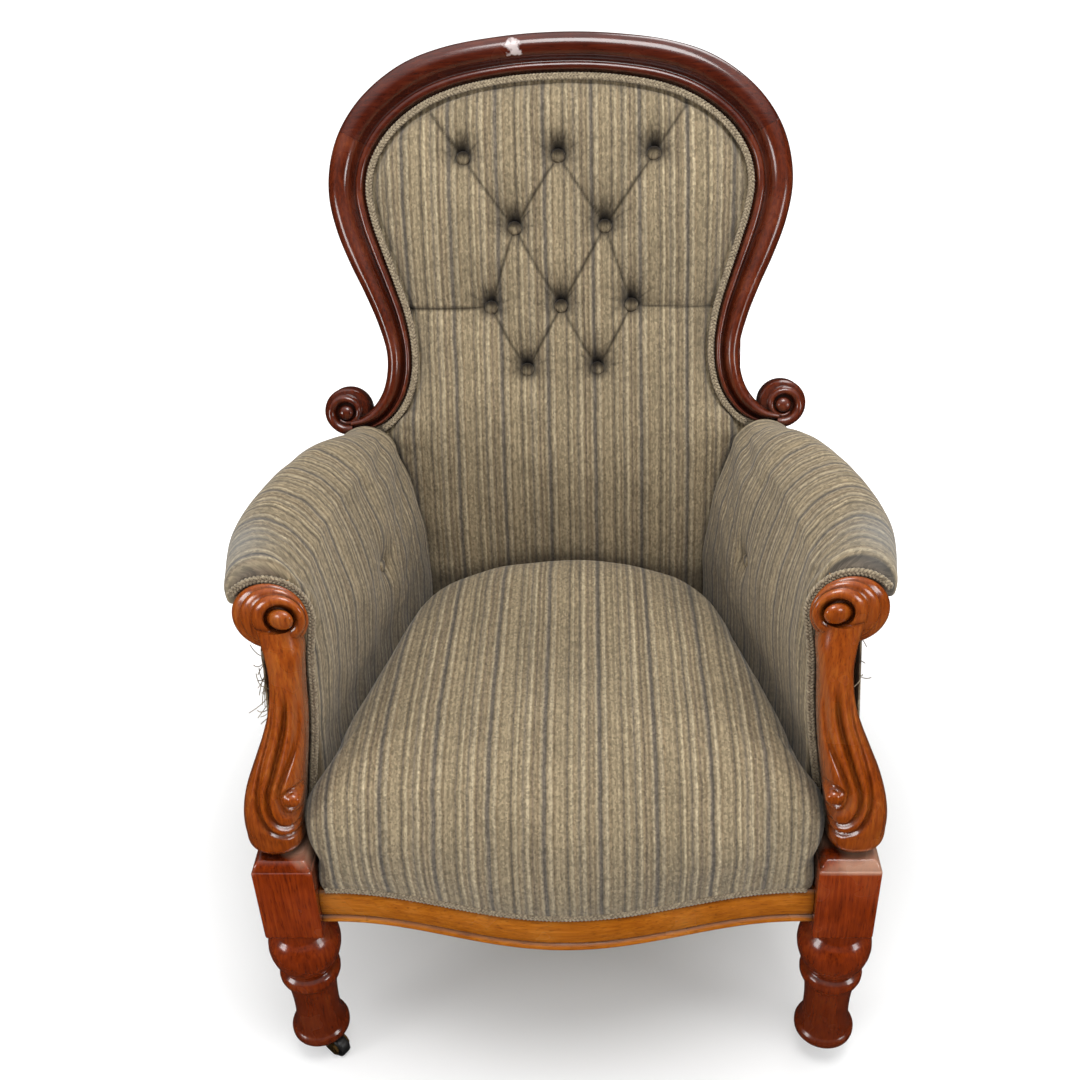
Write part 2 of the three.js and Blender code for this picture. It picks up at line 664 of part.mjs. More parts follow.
const PANEL_SHOULDER = ARM_TOP[5] - 69;
const panelLevels = [
  ...steps(9).map((s) => {
    const z = lerp(PANEL_LOW, PANEL_SHOULDER, s);
    return [z, lerp(POST_X + POST_WIDTH / 2, railX(1) + ARM_RAIL_WIDE / 2, s) + SKIN];
  }),
  [BACK_Z - 15, railX(1) + 8],
  ...steps(18).map((s) => {
    const p = hoopPoint(lerp(0.915, 0.505, s), -0.5, 4);
    return [BACK_Z + p.y * Math.cos(BACK_RAKE) - FRAME_BACK * Math.sin(BACK_RAKE), p.x];
  }),
];
const outsideBack = loft(
  panelLevels.map(([z, half]) => [
    v3(-half, outsideY(z), z),
    v3(half, outsideY(z), z),
    v3(half, outsideY(z) + SKIN, z),
    v3(-half, outsideY(z) + SKIN, z),
  ]),
);
add("outside_back", outsideBack, TWEED);

// Inside back: a domed pad drawn in by buttons, with pleats from button to button
const BUTTON_ROWS = [
  [301, [-113, 0, 113]],
  [219, [-54, 54]],
  [126, [-85, 0, 85]],
  [50, [-43, 43]],
];
const buttons = BUTTON_ROWS.flatMap(([w, xs]) => xs.map((x) => v2(x, w)));
const pleats = buttons.flatMap((a, i) =>
  buttons.slice(i + 1).filter((b) => a.y !== b.y && a.distanceTo(b) < 125).map((b) => new THREE.Line3(v3(a.x, a.y, 0), v3(b.x, b.y, 0))),
);
const padTop = hoopPoint(0.5, 0.5, GAP).y;
const hoopEdge = steps(90).map((s) => hoopPoint(lerp(0.5, 0.97, s), 0.5, 2.5 * GAP));
const edgeAt = (w) => {
  const i = Math.max(1, hoopEdge.findIndex((p) => p.y < w));
  return [hoopEdge[i - 1], hoopEdge[i]];
};
const padHalf = (w) => {
  if (w < 0) return lerp(armFace(BACK_Z + w * Math.cos(BACK_RAKE), 1) + 20, 198, smoothstep(w, -34, 0));
  const [a, b] = edgeAt(w);
  return lerp(a.x, b.x, (a.y - w) / (a.y - b.y));
};
const RIM = 12; // flat edge of the pad that the braid covers
const rimWidth = (w) => {
  const [a, b] = edgeAt(Math.max(1, w));
  return Math.min((RIM * a.distanceTo(b)) / (a.y - b.y), 0.45 * padHalf(w));
};
const edgeDistance = (x, w) => {
  if (w < 0) return padHalf(w) - Math.abs(x);
  return Math.min(...hoopEdge.map((p) => Math.hypot(p.x - Math.abs(x), p.y - w)));
};
const PAD_LOW = (RAIL_TOP + GAP - BACK_Z) / Math.cos(BACK_RAKE);
const padSwell = (x, w) => {
  const rim = Math.max(0, edgeDistance(x, w) - RIM);
  const swell = lerp(11, PAD_SWELL, smoothstep(w, -260, -120));
  return -1 + (swell + 1) * Math.sqrt(1 - (1 - Math.min(1, rim / 62)) ** 2);
};
const padFront = (x, w) => {
  const here = v3(x, w, 0);
  const nearest = v3();
  let pull = 0;
  for (const b of buttons) pull = Math.max(pull, BUTTON_DEPTH * Math.exp(-((Math.hypot(x - b.x, w - b.y) / 22) ** 2)));
  for (const line of pleats) {
    const away = line.closestPointToPoint(here, true, nearest).distanceTo(here);
    pull = Math.max(pull, PLEAT_DEPTH * Math.exp(-((away / 11) ** 2)));
  }
  return padSwell(x, w) - pull;
};
const padRows = [...steps(7).map((s) => lerp(PAD_LOW, -2, s)), ...steps(23).slice(1).map((s) => lerp(-2, padTop - RIM, s)), padTop - 3];
const insideBack = loft(
  padRows.map((w) => {
    const half = padHalf(w);
    const inner = half - rimWidth(w);
    const across = [-half, ...steps(20).map((s) => lerp(-inner, inner, s)), half];
    const front = across.map((x) => backPoint(x, w, padFront(x, w)));
    return [...front, backPoint(half, w, -PAD_BACK), backPoint(-half, w, -PAD_BACK)];
  }),
);
const forward = v3(0, -Math.cos(BACK_RAKE), Math.sin(BACK_RAKE));
const buttonSeats = buttons.map((b) => backPoint(b.x, b.y, padFront(b.x, b.y) + 1));
add("inside_back", cut(insideBack, ...buttonSeats.map((seat) => facingOut(POCKET, seat, forward))), TWEED);
buttonSeats.forEach((seat, i) => add("back_button_" + (i + 1), facingOut(BUTTON, seat, forward), TWEED));

// Seat: domed stuffing over nine springs on a web
const seatBack = (z) => {
  const w = (z - BACK_Z) / Math.cos(BACK_RAKE);
  return backY(z) - padSwell(0, w) * 1.07 - 0.9;
};
const seatT = (y, z) => clamp((y - armFront(z)) / (armEnd(z) - armFront(z)), 0, 1);
const SEAT_MIDDLE = v2(0, 205);
const seatOutline = (z, inset, bulge, shrink = 0) => {
  const deep = seatBack(z);
  const side = (y) => Math.min(SEAT_HALF, armInner(seatT(y, z))) - 1.2;
  const ring = [];
  for (const s of steps(14)) {
    const x = lerp(-SEAT_HALF + 12, SEAT_HALF - 12, s);
    ring.push(v2(x, frontRailY(x) + 8 + inset - bulge));
  }
  const sides = [24, 66, 110, 160, 210, 260, 310, 350, 380].map((y) => y + Math.max(0, inset * (1 - y / 200)));
  for (const y of sides) ring.push(v2(side(y) - inset, y));
  for (const s of steps(6)) ring.push(v2((side(deep) - inset) * (1 - 2 * s), deep - 0.8 * inset));
  for (const y of [...sides].reverse()) ring.push(v2(-side(y) + inset, y));
  return ring.map((p) => p.lerp(SEAT_MIDDLE, shrink));
};
// Share of the stuffing's height, then inset, bulge of the front and share drawn in to the middle
const SEAT_LEVELS = [
  [0, 4, 0, 0],
  [0.06, 1, 4, 0],
  [0.176, 0, 11, 0],
  [0.41, 0, 13, 0],
  [0.615, 0, 10, 0],
  [0.762, 3, 4, 0],
  [0.861, 14, 0, 0],
  [0.914, 14, 0, 0.1],
  [0.955, 14, 0, 0.25],
  [0.984, 14, 0, 0.45],
  [1, 14, 0, 0.75],
];
const seatLevel = (share) => lerp(RAIL_TOP + GAP, SEAT_CROWN, share);
const seatSkin = loft(
  SEAT_LEVELS.map(([share, ...form]) => {
    const z = seatLevel(share);
    return seatOutline(z, ...form).map((p) => v3(p.x, p.y, z));
  }),
);
const springRoom = (z) => seatOutline(RAIL_TOP + 20, 42, 0).map((p) => v3(p.x, p.y, z));
const seatPad = cut(seatSkin, loft([springRoom(RAIL_TOP - 5), springRoom(SPRING_ROOF)]));
add("seat_pad", seatPad, TWEED);

const SPRING_ROWS = [
  [110, 122],
  [208, 112],
  [304, 94],
];
const springLow = WEB_TOP + GAP + WIRE;
const springHigh = SPRING_ROOF - GAP - WIRE;
const springCurve = new THREE.CatmullRomCurve3(
  steps(34).map((s) => {
    const angle = s * 3.8 * 2 * Math.PI;
    const radius = lerp(SPRING_WAIST, SPRING_RADIUS, (2 * s - 1) ** 2);
    const rise = clamp((s - 0.16) / 0.68, 0, 1);
    return v3(radius * Math.cos(angle), radius * Math.sin(angle), lerp(springLow, springHigh, rise));
  }),
);
const spring = cord(springCurve, WIRE, 3, 28);
SPRING_ROWS.forEach(([y, apart], row) => {
  [-1, 0, 1].forEach((side, i) => {
    add("seat_spring_" + (row * 3 + i + 1), spring, STEEL).position.set(side * apart, y, 0);
  });
});

const strap = (width, length, x, y, z) => new THREE.BoxGeometry(width, length, WEB_THICK).translate(x, y, z);
const webs = [-140, -70, 0, 70, 140].map((x) => {
  const [from, to] = [frontRailY(x) + 10, postFront(RAIL_BOTTOM) + 18];
  return strap(WEB_WIDE, to - from, x, (from + to) / 2, WEB_TOP - WEB_THICK);
});
const crossWebs = [95, 165, 235, 305, 375].map((y) => {
  const half = sideRailOut((y - BLOCK) / (postFront(RAIL_BOTTOM) - BLOCK)) - 10;
  return strap(2 * half, WEB_WIDE, 0, y, WEB_TOP - WEB_THICK / 2);
});
add("seat_webbing", join(...webs, ...crossWebs), JUTE);

// Braid over the edges of the cloth
const gimpOnBack = new THREE.CatmullRomCurve3(
  steps(48).map((s) => {
    const p = hoopPoint(lerp(0.06, 0.94, s), 0.5, GIMP_RADIUS + 2 * GAP);
    return backPoint(p.x, p.y, GIMP_RADIUS - 1 + 3 * GAP);
  }),
);
add("back_gimp", cord(gimpOnBack, GIMP_RADIUS, 5, 52), BRAID);

const gimpOnSeat = new THREE.CatmullRomCurve3(
  steps(24).map((s) => {
    const x = lerp(-RAIL_HALF + 8, RAIL_HALF - 8, s);
    return v3(x, frontRailY(x) + 3.8, RAIL_TOP + GIMP_RADIUS + GAP);
  }),
);
add("seat_gimp", cord(gimpOnSeat, GIMP_RADIUS, 5, 22), BRAID);

const gimpRound = VOLUTE_RADIUS + GIMP_RADIUS + 2.2;
const gimpFront = (x, z) => v3(x, supportBack(z) - GIMP_RADIUS + 2 * GAP, z);
const gimpOnArm = new THREE.CatmullRomCurve3([
  ...SUPPORT.slice(2, 11).map(([rise, , inner]) => gimpFront(inner - GIMP_RADIUS - 2, stemZ(rise))),
  ...steps(9).map((s) => {
    const angle = lerp(1.02, 0.2, s) * Math.PI;
    return gimpFront(voluteX - 2 + gimpRound * Math.cos(angle), voluteZ + gimpRound * Math.sin(angle));
  }),
]);
addPair("arm_gimp", cord(gimpOnArm, GIMP_RADIUS, 5, 28), BRAID);

// Castors: a plate under each leg, a fork that swivels in it, and a wheel that trails behind the pivot
const plate = turned(
  [
    [PIVOT_RADIUS + RUNNING, 0],
    [PLATE_RADIUS, 0],
    [PLATE_RADIUS, PLATE_THICK],
    [PIVOT_RADIUS + RUNNING, PLATE_THICK],
    [PIVOT_RADIUS + RUNNING, 0],
  ],
  16,
).translate(0, 0, PLATE_Z);
const headZ = PLATE_Z + PLATE_THICK + GAP;
const pivot = turned(
  [
    [0, CROWN_Z - 2],
    [PIVOT_RADIUS, CROWN_Z - 2],
    [PIVOT_RADIUS, headZ],
    [PIVOT_HEAD, headZ],
    [PIVOT_HEAD - 1, headZ + PIVOT_HEAD_THICK],
    [0, headZ + PIVOT_HEAD_THICK],
  ],
  10,
);
const cheekInner = WHEEL_WIDTH / 2 + 2 * RUNNING;
const crownEnd = TRAIL - WHEEL_RADIUS - 1.5;
const crown = new THREE.BoxGeometry(crownEnd + 12, 2 * (cheekInner + CHEEK), FORK_TOP).translate(
  (crownEnd - 12) / 2,
  0,
  CROWN_Z - FORK_TOP / 2,
);
const cheekShape = new THREE.Shape([
  v2(-10, CROWN_Z - 1),
  v2(crownEnd, CROWN_Z - 1),
  v2(TRAIL + 4, AXLE_Z + 7),
  v2(TRAIL + 7, AXLE_Z + 2),
  v2(TRAIL + 6, AXLE_Z - 4),
  v2(TRAIL, AXLE_Z - 7),
  v2(TRAIL - 9, AXLE_Z - 4),
  v2(-8, CROWN_Z - FORK_TOP),
]);
const cheek = (y) =>
  new THREE.ExtrudeGeometry(cheekShape, { depth: CHEEK, bevelEnabled: false }).rotateX(Math.PI / 2).translate(0, y, 0);
const axle = new THREE.CylinderGeometry(AXLE_RADIUS, AXLE_RADIUS, 2 * (cheekInner + CHEEK) + 2, 10).translate(TRAIL, 0, AXLE_Z);
const fork = join(pivot, crown, cheek(cheekInner + CHEEK), cheek(-cheekInner), axle);
const bore = AXLE_RADIUS + RUNNING;
const wheelHalf = WHEEL_WIDTH / 2;
const WHEEL = [
  [bore, -wheelHalf],
  [WHEEL_RADIUS, -wheelHalf],
  [WHEEL_RADIUS, wheelHalf],
  [bore, wheelHalf],
  [bore, -wheelHalf],
];
const wheel = new THREE.LatheGeometry(WHEEL.map(([r, y]) => v2(r, y)), WHEEL_SIDES)
  .rotateY(Math.PI / WHEEL_SIDES)
  .translate(TRAIL, 0, AXLE_Z);
const CASTORS = [
  ["front_right", LEG_X, LEG_Y, 100],
  ["front_left", -LEG_X, LEG_Y, -35],
  ["rear_right", rearFootX, rearFootY, 90],
  ["rear_left", -rearFootX, rearFootY, 90],
];
for (const [name, x, y, heading] of CASTORS) {
  const castor = new THREE.Group();
  castor.position.set(x, y, 0);
  castor.rotation.z = THREE.MathUtils.degToRad(heading);
  add("castor_plate_" + name, plate, BRASS, castor);
  add("castor_fork_" + name, fork, BRASS, castor);
  add("castor_wheel_" + name, wheel, IRON, castor);
  chair.add(castor);
}

// The origin lies under the middle of the chair
const whole = new THREE.Box3().setFromObject(chair);
chair.position.y = -(whole.min.y + whole.max.y) / 2;
const part = new THREE.Group().add(chair);

export default part;
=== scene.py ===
# %% [markdown]
# # A spoon-back armchair, dressed
# The imported solids give this chair its size and its joints. This lesson goes over them piece by piece
# and makes what the eye meets: polished mahogany, striped tweed, plaited braid and small iron castors.
# The first cell loads the solids.

# %% The imported chair
import math

import bpy
import numpy as np
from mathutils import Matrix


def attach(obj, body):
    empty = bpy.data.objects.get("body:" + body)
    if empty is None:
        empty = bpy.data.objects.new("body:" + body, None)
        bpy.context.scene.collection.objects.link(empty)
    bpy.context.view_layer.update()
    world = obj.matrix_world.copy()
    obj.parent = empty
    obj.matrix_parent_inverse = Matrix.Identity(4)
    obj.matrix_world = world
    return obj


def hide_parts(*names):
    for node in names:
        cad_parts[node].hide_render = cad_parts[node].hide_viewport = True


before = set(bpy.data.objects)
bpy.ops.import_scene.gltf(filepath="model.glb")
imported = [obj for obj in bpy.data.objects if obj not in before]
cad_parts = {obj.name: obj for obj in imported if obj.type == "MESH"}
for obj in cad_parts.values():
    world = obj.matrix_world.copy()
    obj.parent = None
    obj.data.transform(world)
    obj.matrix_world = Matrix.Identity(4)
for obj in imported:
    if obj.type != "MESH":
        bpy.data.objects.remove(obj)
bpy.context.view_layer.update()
CHAIR = "chair"

# %% [markdown]
# ## Camera
# The photograph was taken standing, close to the chair and a little to its right, looking down at it.
# The place, the tilt and the lens were worked out from points whose size on such a chair is known.

# %% The photographer's place
bpy.ops.object.camera_add(
    location=(0.0403, -1.237634, 1.3295),
    rotation=[math.radians(turn) for turn in (56.88524, 2.085961, 1.729969)],
)
camera = bpy.context.object
camera.data.sensor_width = 36
camera.data.lens = 42.587
bpy.context.scene.camera = camera
bpy.context.scene.view_settings.view_transform = "Standard"
print("camera lens in mm:", round(camera.data.lens, 2))

# %% [markdown]
# ## Light and floor
# A dealer's white room: light comes from all round, one large soft lamp hangs above and in front, and
# weaker ones fill from the left, the right and behind. The floor is nearly white, and a little light of
# its own, seen only by the camera, carries it to white where no shadow falls. Polish mirrors a dim room
# with a bright ceiling instead, so the wood keeps its colour between the highlights.

# %% Colours and nodes
def linear(code):
    """An sRGB colour such as #8a7b5d as linear red, green, blue and alpha."""
    shares = [int(code[i : i + 2], 16) / 255 for i in (1, 3, 5)]
    return (*[s / 12.92 if s <= 0.04045 else ((s + 0.055) / 1.055) ** 2.4 for s in shares], 1)


def add_node(tree, kind, inputs=None, **settings):
    """Adds one node; an input takes a value, another node's output, or a node for its first output."""
    node = tree.nodes.new(kind)
    for name, value in settings.items():
        setattr(node, name, value)
    for name, value in (inputs or {}).items():
        if isinstance(value, bpy.types.Node):
            value = value.outputs[0]
        if isinstance(value, bpy.types.NodeSocket):
            tree.links.new(value, node.inputs[name])
        else:
            node.inputs[name].default_value = value
    return node


def new_tree(owner):
    """The empty node tree of a new material or world."""
    owner.use_nodes = True
    owner.node_tree.nodes.clear()
    return owner.node_tree


# %% White room
WHITE = linear("#ffffff")
ROOM_LIGHT, ROOM_SEEN = 0.62, 1.0
MIRRORED_WALL, MIRRORED_CEILING = 0.012, 0.9
world = bpy.data.worlds.new("white_room")
bpy.context.scene.world = world
room = new_tree(world)
path = add_node(room, "ShaderNodeLightPath")
toward = add_node(room, "ShaderNodeTexCoord")
axes = add_node(room, "ShaderNodeSeparateXYZ", {0: toward.outputs["Generated"]})
# A Map Range node takes its value as input 0, the range that it comes from as 1 and 2, and the range that
# it goes to as 3 and 4; each range is 0 to 1 where it isn't given
ceiling = add_node(
    room, "ShaderNodeMapRange",
    {0: axes.outputs["Z"], 1: 0.3, 2: 0.95, 3: MIRRORED_WALL, 4: MIRRORED_CEILING},
)
level = add_node(
    room, "ShaderNodeMapRange", {0: path.outputs["Is Camera Ray"], 3: ROOM_LIGHT, 4: ROOM_SEEN}
)
# A Mix node takes its share as input 0, and then two numbers as 2 and 3, or two colours as 6 and 7
strength = add_node(
    room, "ShaderNodeMix", {0: path.outputs["Is Glossy Ray"], 2: level, 3: ceiling}, data_type="FLOAT"
)
around = add_node(room, "ShaderNodeBackground", {"Color": WHITE, "Strength": strength})
add_node(room, "ShaderNodeOutputWorld", {"Surface": around})

# Name, place, the point it looks at, size in metres and watts
LAMPS = [
    ("soft_above", (0.25, -0.75, 2.9), (0, 0.0, 0.5), 1.3, 46),
    ("soft_left", (-2.2, -1.4, 0.95), (0, 0, 0.5), 0.8, 17),
    ("soft_right", (2.2, -1.4, 0.95), (0, 0, 0.5), 0.7, 12),
    ("soft_behind", (0.9, 2.2, 2.4), (0, 0.1, 0.6), 1.2, 14),
]
for name, place, aim, size, watts in LAMPS:
    bpy.ops.object.light_add(type="AREA", location=place)
    lamp = bpy.context.object
    lamp.name = name
    lamp.data.size = size
    lamp.data.energy = watts
    away = lamp.location - type(lamp.location)(aim)
    lamp.rotation_euler = away.to_track_quat("Z", "Y").to_euler()
print("lamps:", [lamp[0] for lamp in LAMPS])

# %% Pale floor
FLOOR_DIM = 0.015
SHADOW_MIDDLE = (0, 0.12, 0)


def pale_paint():
    """Matt white that glows to the camera away from the chair, keeps its shadow, and is dim to polish."""
    paint = bpy.data.materials.new("pale_floor_paint")
    tree = new_tree(paint)
    path = add_node(tree, "ShaderNodeLightPath")
    place = add_node(tree, "ShaderNodeTexCoord").outputs["Object"]
    away = add_node(tree, "ShaderNodeVectorMath", {0: place, 1: SHADOW_MIDDLE}, operation="DISTANCE")
    whiter = add_node(
        tree, "ShaderNodeMapRange", {0: away.outputs["Value"], 1: 0.15, 2: 0.95, 3: 0.02, 4: 0.85},
        interpolation_type="SMOOTHSTEP",
    )
    seen = path.outputs["Is Camera Ray"]
    glow = add_node(tree, "ShaderNodeMath", {0: seen, 1: whiter}, operation="MULTIPLY")
    matt = add_node(tree, "ShaderNodeBsdfDiffuse", {"Color": linear("#cccccc")})
    light = add_node(tree, "ShaderNodeEmission", {"Color": WHITE, "Strength": glow})
    both = add_node(tree, "ShaderNodeAddShader", {0: matt, 1: light})
    dim = add_node(tree, "ShaderNodeEmission", {"Color": WHITE, "Strength": FLOOR_DIM})
    mirrored = path.outputs["Is Glossy Ray"]
    surface = add_node(tree, "ShaderNodeMixShader", {0: mirrored, 1: both, 2: dim})
    add_node(tree, "ShaderNodeOutputMaterial", {"Surface": surface})
    return paint


bpy.ops.object.select_all(action="DESELECT")
bpy.ops.mesh.primitive_plane_add(size=40)
floor = bpy.context.object
floor.name = "pale_floor"
floor.data.materials.append(pale_paint())
print("floor:", floor.name)

# %% [markdown]
# ## Mahogany
# The show wood is French-polished mahogany: a close, straight grain with short dark pores under a thin
# clear film of shellac. The back is dark red; the arms, rails and legs have faded to honey. Polish wears
# off the edges, and old wax and dust darken the hollows, so an occlusion node finds the hollows. A wider
# one paints shade where parts close in on each other.

# %% Grain and wear
# Width and length in metres of a streak and of a pore, drawn coarse enough to show
STREAK, PORE = (0.003, 0.06), (0.0011, 0.012)
CLOUD, FLAKE = 0.05, 0.011


def fibres(tree, place, mark, grain, detail):
    """Marks of one width and length, drawn out along the grain."""
    scale = [1 / mark[0]] * 3
    scale[grain] = 1 / mark[1]
    squeezed = add_node(tree, "ShaderNodeMapping", {"Vector": place, "Scale": scale})
    return add_node(tree, "ShaderNodeTexNoise", {"Vector": squeezed, "Scale": 1.0, "Detail": detail})


def scuffed(tree, place, colour, spot, reach, pale):
    """Polish that is chipped off round one spot."""
    away = add_node(tree, "ShaderNodeVectorMath", {0: place, 1: spot}, operation="DISTANCE")
    flakes = add_node(tree, "ShaderNodeTexNoise", {"Vector": place, "Scale": 1 / FLAKE, "Detail": 5.0})
    near = add_node(tree, "ShaderNodeMapRange", {0: away.outputs["Value"], 2: reach, 3: 0.25, 4: -0.35})
    chipped = add_node(tree, "ShaderNodeMath", {0: flakes, 1: near}, operation="ADD")
    edge = add_node(tree, "ShaderNodeMapRange", {0: chipped, 1: 0.55, 2: 0.66})
    bare = add_node(tree, "ShaderNodeMix", {0: edge, 6: colour, 7: linear(pale)}, data_type="RGBA")
    return bare.outputs[2]


def darkened(tree, place, colour, low, high, deep):
    """Darker towards the floor."""
    axes = add_node(tree, "ShaderNodeSeparateXYZ", {0: place})
    lower = add_node(tree, "ShaderNodeMapRange", {0: axes.outputs["Z"], 1: low, 2: high, 3: 0.6, 4: 0.0})
    darker_low = add_node(tree, "ShaderNodeMix", {0: lower, 6: colour, 7: linear(deep)}, data_type="RGBA")
    return darker_low.outputs[2]


def rubbed_off(tree, place, cloud, colour, low, high, pale):
    """A band of heights where the polish has been rubbed away in patches."""
    axes = add_node(tree, "ShaderNodeSeparateXYZ", {0: place})
    rise = axes.outputs["Z"]
    above = add_node(tree, "ShaderNodeMapRange", {0: rise, 1: low, 2: low + 0.004})
    below = add_node(tree, "ShaderNodeMapRange", {0: rise, 1: high - 0.003, 2: high, 3: 1.0, 4: 0.0})
    band = add_node(tree, "ShaderNodeMath", {0: above, 1: below}, operation="MULTIPLY")
    bare = add_node(tree, "ShaderNodeMapRange", {0: cloud, 1: 0.36, 2: 0.6, 4: 0.6})
    worn = add_node(tree, "ShaderNodeMath", {0: band, 1: bare}, operation="MULTIPLY")
    paler = add_node(tree, "ShaderNodeMix", {0: worn, 6: colour, 7: linear(pale)}, data_type="RGBA")
    return paler.outputs[2]


# %% Polished wood
POLISH = 0.2


def polished_wood(
    name, dark, middle, light, grain, hollow="#1c0a06", scuff=None, rubbed=None, darker=None
):
    """French-polished mahogany; grain is the axis that the fibres follow."""
    wood = bpy.data.materials.new(name)
    tree = new_tree(wood)
    place = add_node(tree, "ShaderNodeTexCoord").outputs["Object"]
    figure = fibres(tree, place, STREAK, grain, 4.0)
    specks = fibres(tree, place, PORE, grain, 1.0)
    cloud = add_node(tree, "ShaderNodeTexNoise", {"Vector": place, "Scale": 1 / CLOUD, "Detail": 2.0})
    both = add_node(tree, "ShaderNodeMix", {0: 0.45, 2: figure, 3: cloud}, data_type="FLOAT")
    tone = add_node(tree, "ShaderNodeValToRGB", {0: both})
    for stop, (position, code) in zip(tone.color_ramp.elements, ((0.27, dark), (0.76, light))):
        stop.position = position
        stop.color = linear(code)
    tone.color_ramp.elements.new(0.52).color = linear(middle)
    dots = add_node(tree, "ShaderNodeMapRange", {0: specks, 1: 0.3, 2: 0.42, 3: 0.4, 4: 0.0})
    pored = add_node(tree, "ShaderNodeMix", {0: dots, 6: tone, 7: linear(hollow)}, data_type="RGBA")
    # Wax and dust in the hollows within about a centimetre, and painted shade deep between the parts
    shade = add_node(tree, "ShaderNodeAmbientOcclusion", {"Distance": 0.012}, samples=6).outputs["AO"]
    depth = add_node(tree, "ShaderNodeAmbientOcclusion", {"Distance": 0.06}, samples=6).outputs["AO"]
    close = add_node(tree, "ShaderNodeMapRange", {0: shade, 1: 0.4, 2: 0.9, 3: 0.85, 4: 0.0})
    # The wider occlusion gives painted shade where the parts close in
    shade_between_parts = add_node(tree, "ShaderNodeMapRange", {0: depth, 1: 0.2, 2: 0.85, 3: 0.75, 4: 0.0})
    darker_in_hollows = add_node(tree, "ShaderNodeMath", {0: close, 1: shade_between_parts}, operation="MAXIMUM")
    waxed_and_shaded = add_node(
        tree, "ShaderNodeMix", {0: darker_in_hollows, 6: pored.outputs[2], 7: linear(hollow)}, data_type="RGBA"
    )
    colour = waxed_and_shaded.outputs[2]
    if scuff:
        colour = scuffed(tree, place, colour, *scuff)
    if darker:
        colour = darkened(tree, place, colour, *darker)
    if rubbed:
        colour = rubbed_off(tree, place, cloud, colour, *rubbed)
    gloss = add_node(
        tree, "ShaderNodeMapRange", {0: cloud, 1: 0.3, 2: 0.7, 3: POLISH - 0.05, 4: POLISH + 0.12}
    )
    relief = add_node(tree, "ShaderNodeBump", {"Height": specks, "Strength": 0.12, "Distance": 0.0004})
    shell = add_node(
        tree, "ShaderNodeBsdfPrincipled",
        {
            "Base Color": colour, "Roughness": gloss, "IOR": 1.5, "Normal": relief,
            "Coat Weight": 0.6, "Coat Roughness": 0.1,
        },
    )
    add_node(tree, "ShaderNodeOutputMaterial", {"Surface": shell})
    return wood


# %% Five mahoganies
ALONG_X, ALONG_Z = 0, 2
CREST_SCUFF = ((-0.05, 0.302, 1.003), 0.03, "#cbbdbb")
BLOCK_RUB = (0.318, 0.336, "#c9a58c")
LEG_DARK = (0.05, 0.24, "#300c03")
crest_wood = polished_wood("mahogany_crest", "#351008", "#511b0b", "#6e2e13", ALONG_X, scuff=CREST_SCUFF)
stile_wood = polished_wood("mahogany_stile", "#3a1308", "#62240d", "#823b17", ALONG_Z)
honey_wood = polished_wood(
    "mahogany_honey_upright", "#6a2805", "#9a460a", "#b8651a", ALONG_Z, hollow="#240b03"
)
rail_wood = polished_wood("mahogany_honey_rail", "#8e480c", "#b4660f", "#d0852a", ALONG_X)
leg_wood = polished_wood(
    "mahogany_leg", "#561a03", "#8c3205", "#a84c0e", ALONG_Z, rubbed=BLOCK_RUB, darker=LEG_DARK
)
print("woods:", [m.name for m in bpy.data.materials if m.name.startswith("mahogany_")])

# %% [markdown]
# ## Tweed
# The cover is a woollen tweed with a woven stripe: olive and tan warps, with charcoal and brown lines
# between them, and flecks of pale wool. A UV map laid on each piece in metres says which warp thread a
# point lies on, so the stripes bend with the cloth. Threads of 1.2 mm are drawn 2 mm wide to show here.

# %% Striped cloth
STRIPE_REPEAT = 0.056
STRIPES = [
    (0.00, "#8b7c62"), (0.04, "#9b8c71"), (0.08, "#83745b"), (0.12, "#675d4f"), (0.15, "#86775d"),
    (0.20, "#a6987c"), (0.24, "#7e6e56"), (0.29, "#938469"), (0.33, "#6c6254"), (0.37, "#8f8066"),
    (0.42, "#ab9d82"), (0.46, "#86765b"), (0.50, "#6f6150"), (0.54, "#94856a"), (0.59, "#7a6a53"),
    (0.64, "#a09277"), (0.68, "#6a6054"), (0.72, "#5c554b"), (0.76, "#87785f"), (0.82, "#a7997e"),
    (0.87, "#7a6a52"), (0.93, "#95866b"),
]
# Metres: a thread's width, how far a stripe wanders, and the lengths of a wander, a warp, a slub and soil
THREAD, SWAY = 0.002, 0.0014
WANDER, WARP, SLUB, SOIL = 0.05, 0.5, 0.009, 0.12
# A blue-grey stain, and the colour of the shade painted into folds, pits and creases
STAIN, SHADE_COLOUR = "#82878a", "#1f1913"


def stripes(tree, laid):
    """The woven stripe, which wanders a little as hand-laid cloth does."""
    axes = add_node(tree, "ShaderNodeSeparateXYZ", {0: laid})
    drift = add_node(tree, "ShaderNodeTexNoise", {"Vector": laid, "Scale": 1 / WANDER, "Detail": 1.5})
    sway = add_node(tree, "ShaderNodeMapRange", {0: drift, 3: -SWAY, 4: SWAY})
    across = add_node(tree, "ShaderNodeMath", {0: axes.outputs["X"], 1: sway}, operation="ADD")
    repeats = add_node(tree, "ShaderNodeMath", {0: across, 1: 1 / STRIPE_REPEAT}, operation="MULTIPLY")
    share = add_node(tree, "ShaderNodeMath", {0: repeats}, operation="FRACT")
    warp = add_node(tree, "ShaderNodeValToRGB", {0: share})
    for end in warp.color_ramp.elements:
        end.color = linear(STRIPES[0][1])
    for position, code in STRIPES[1:]:
        warp.color_ramp.elements.new(position).color = linear(code)
    return warp


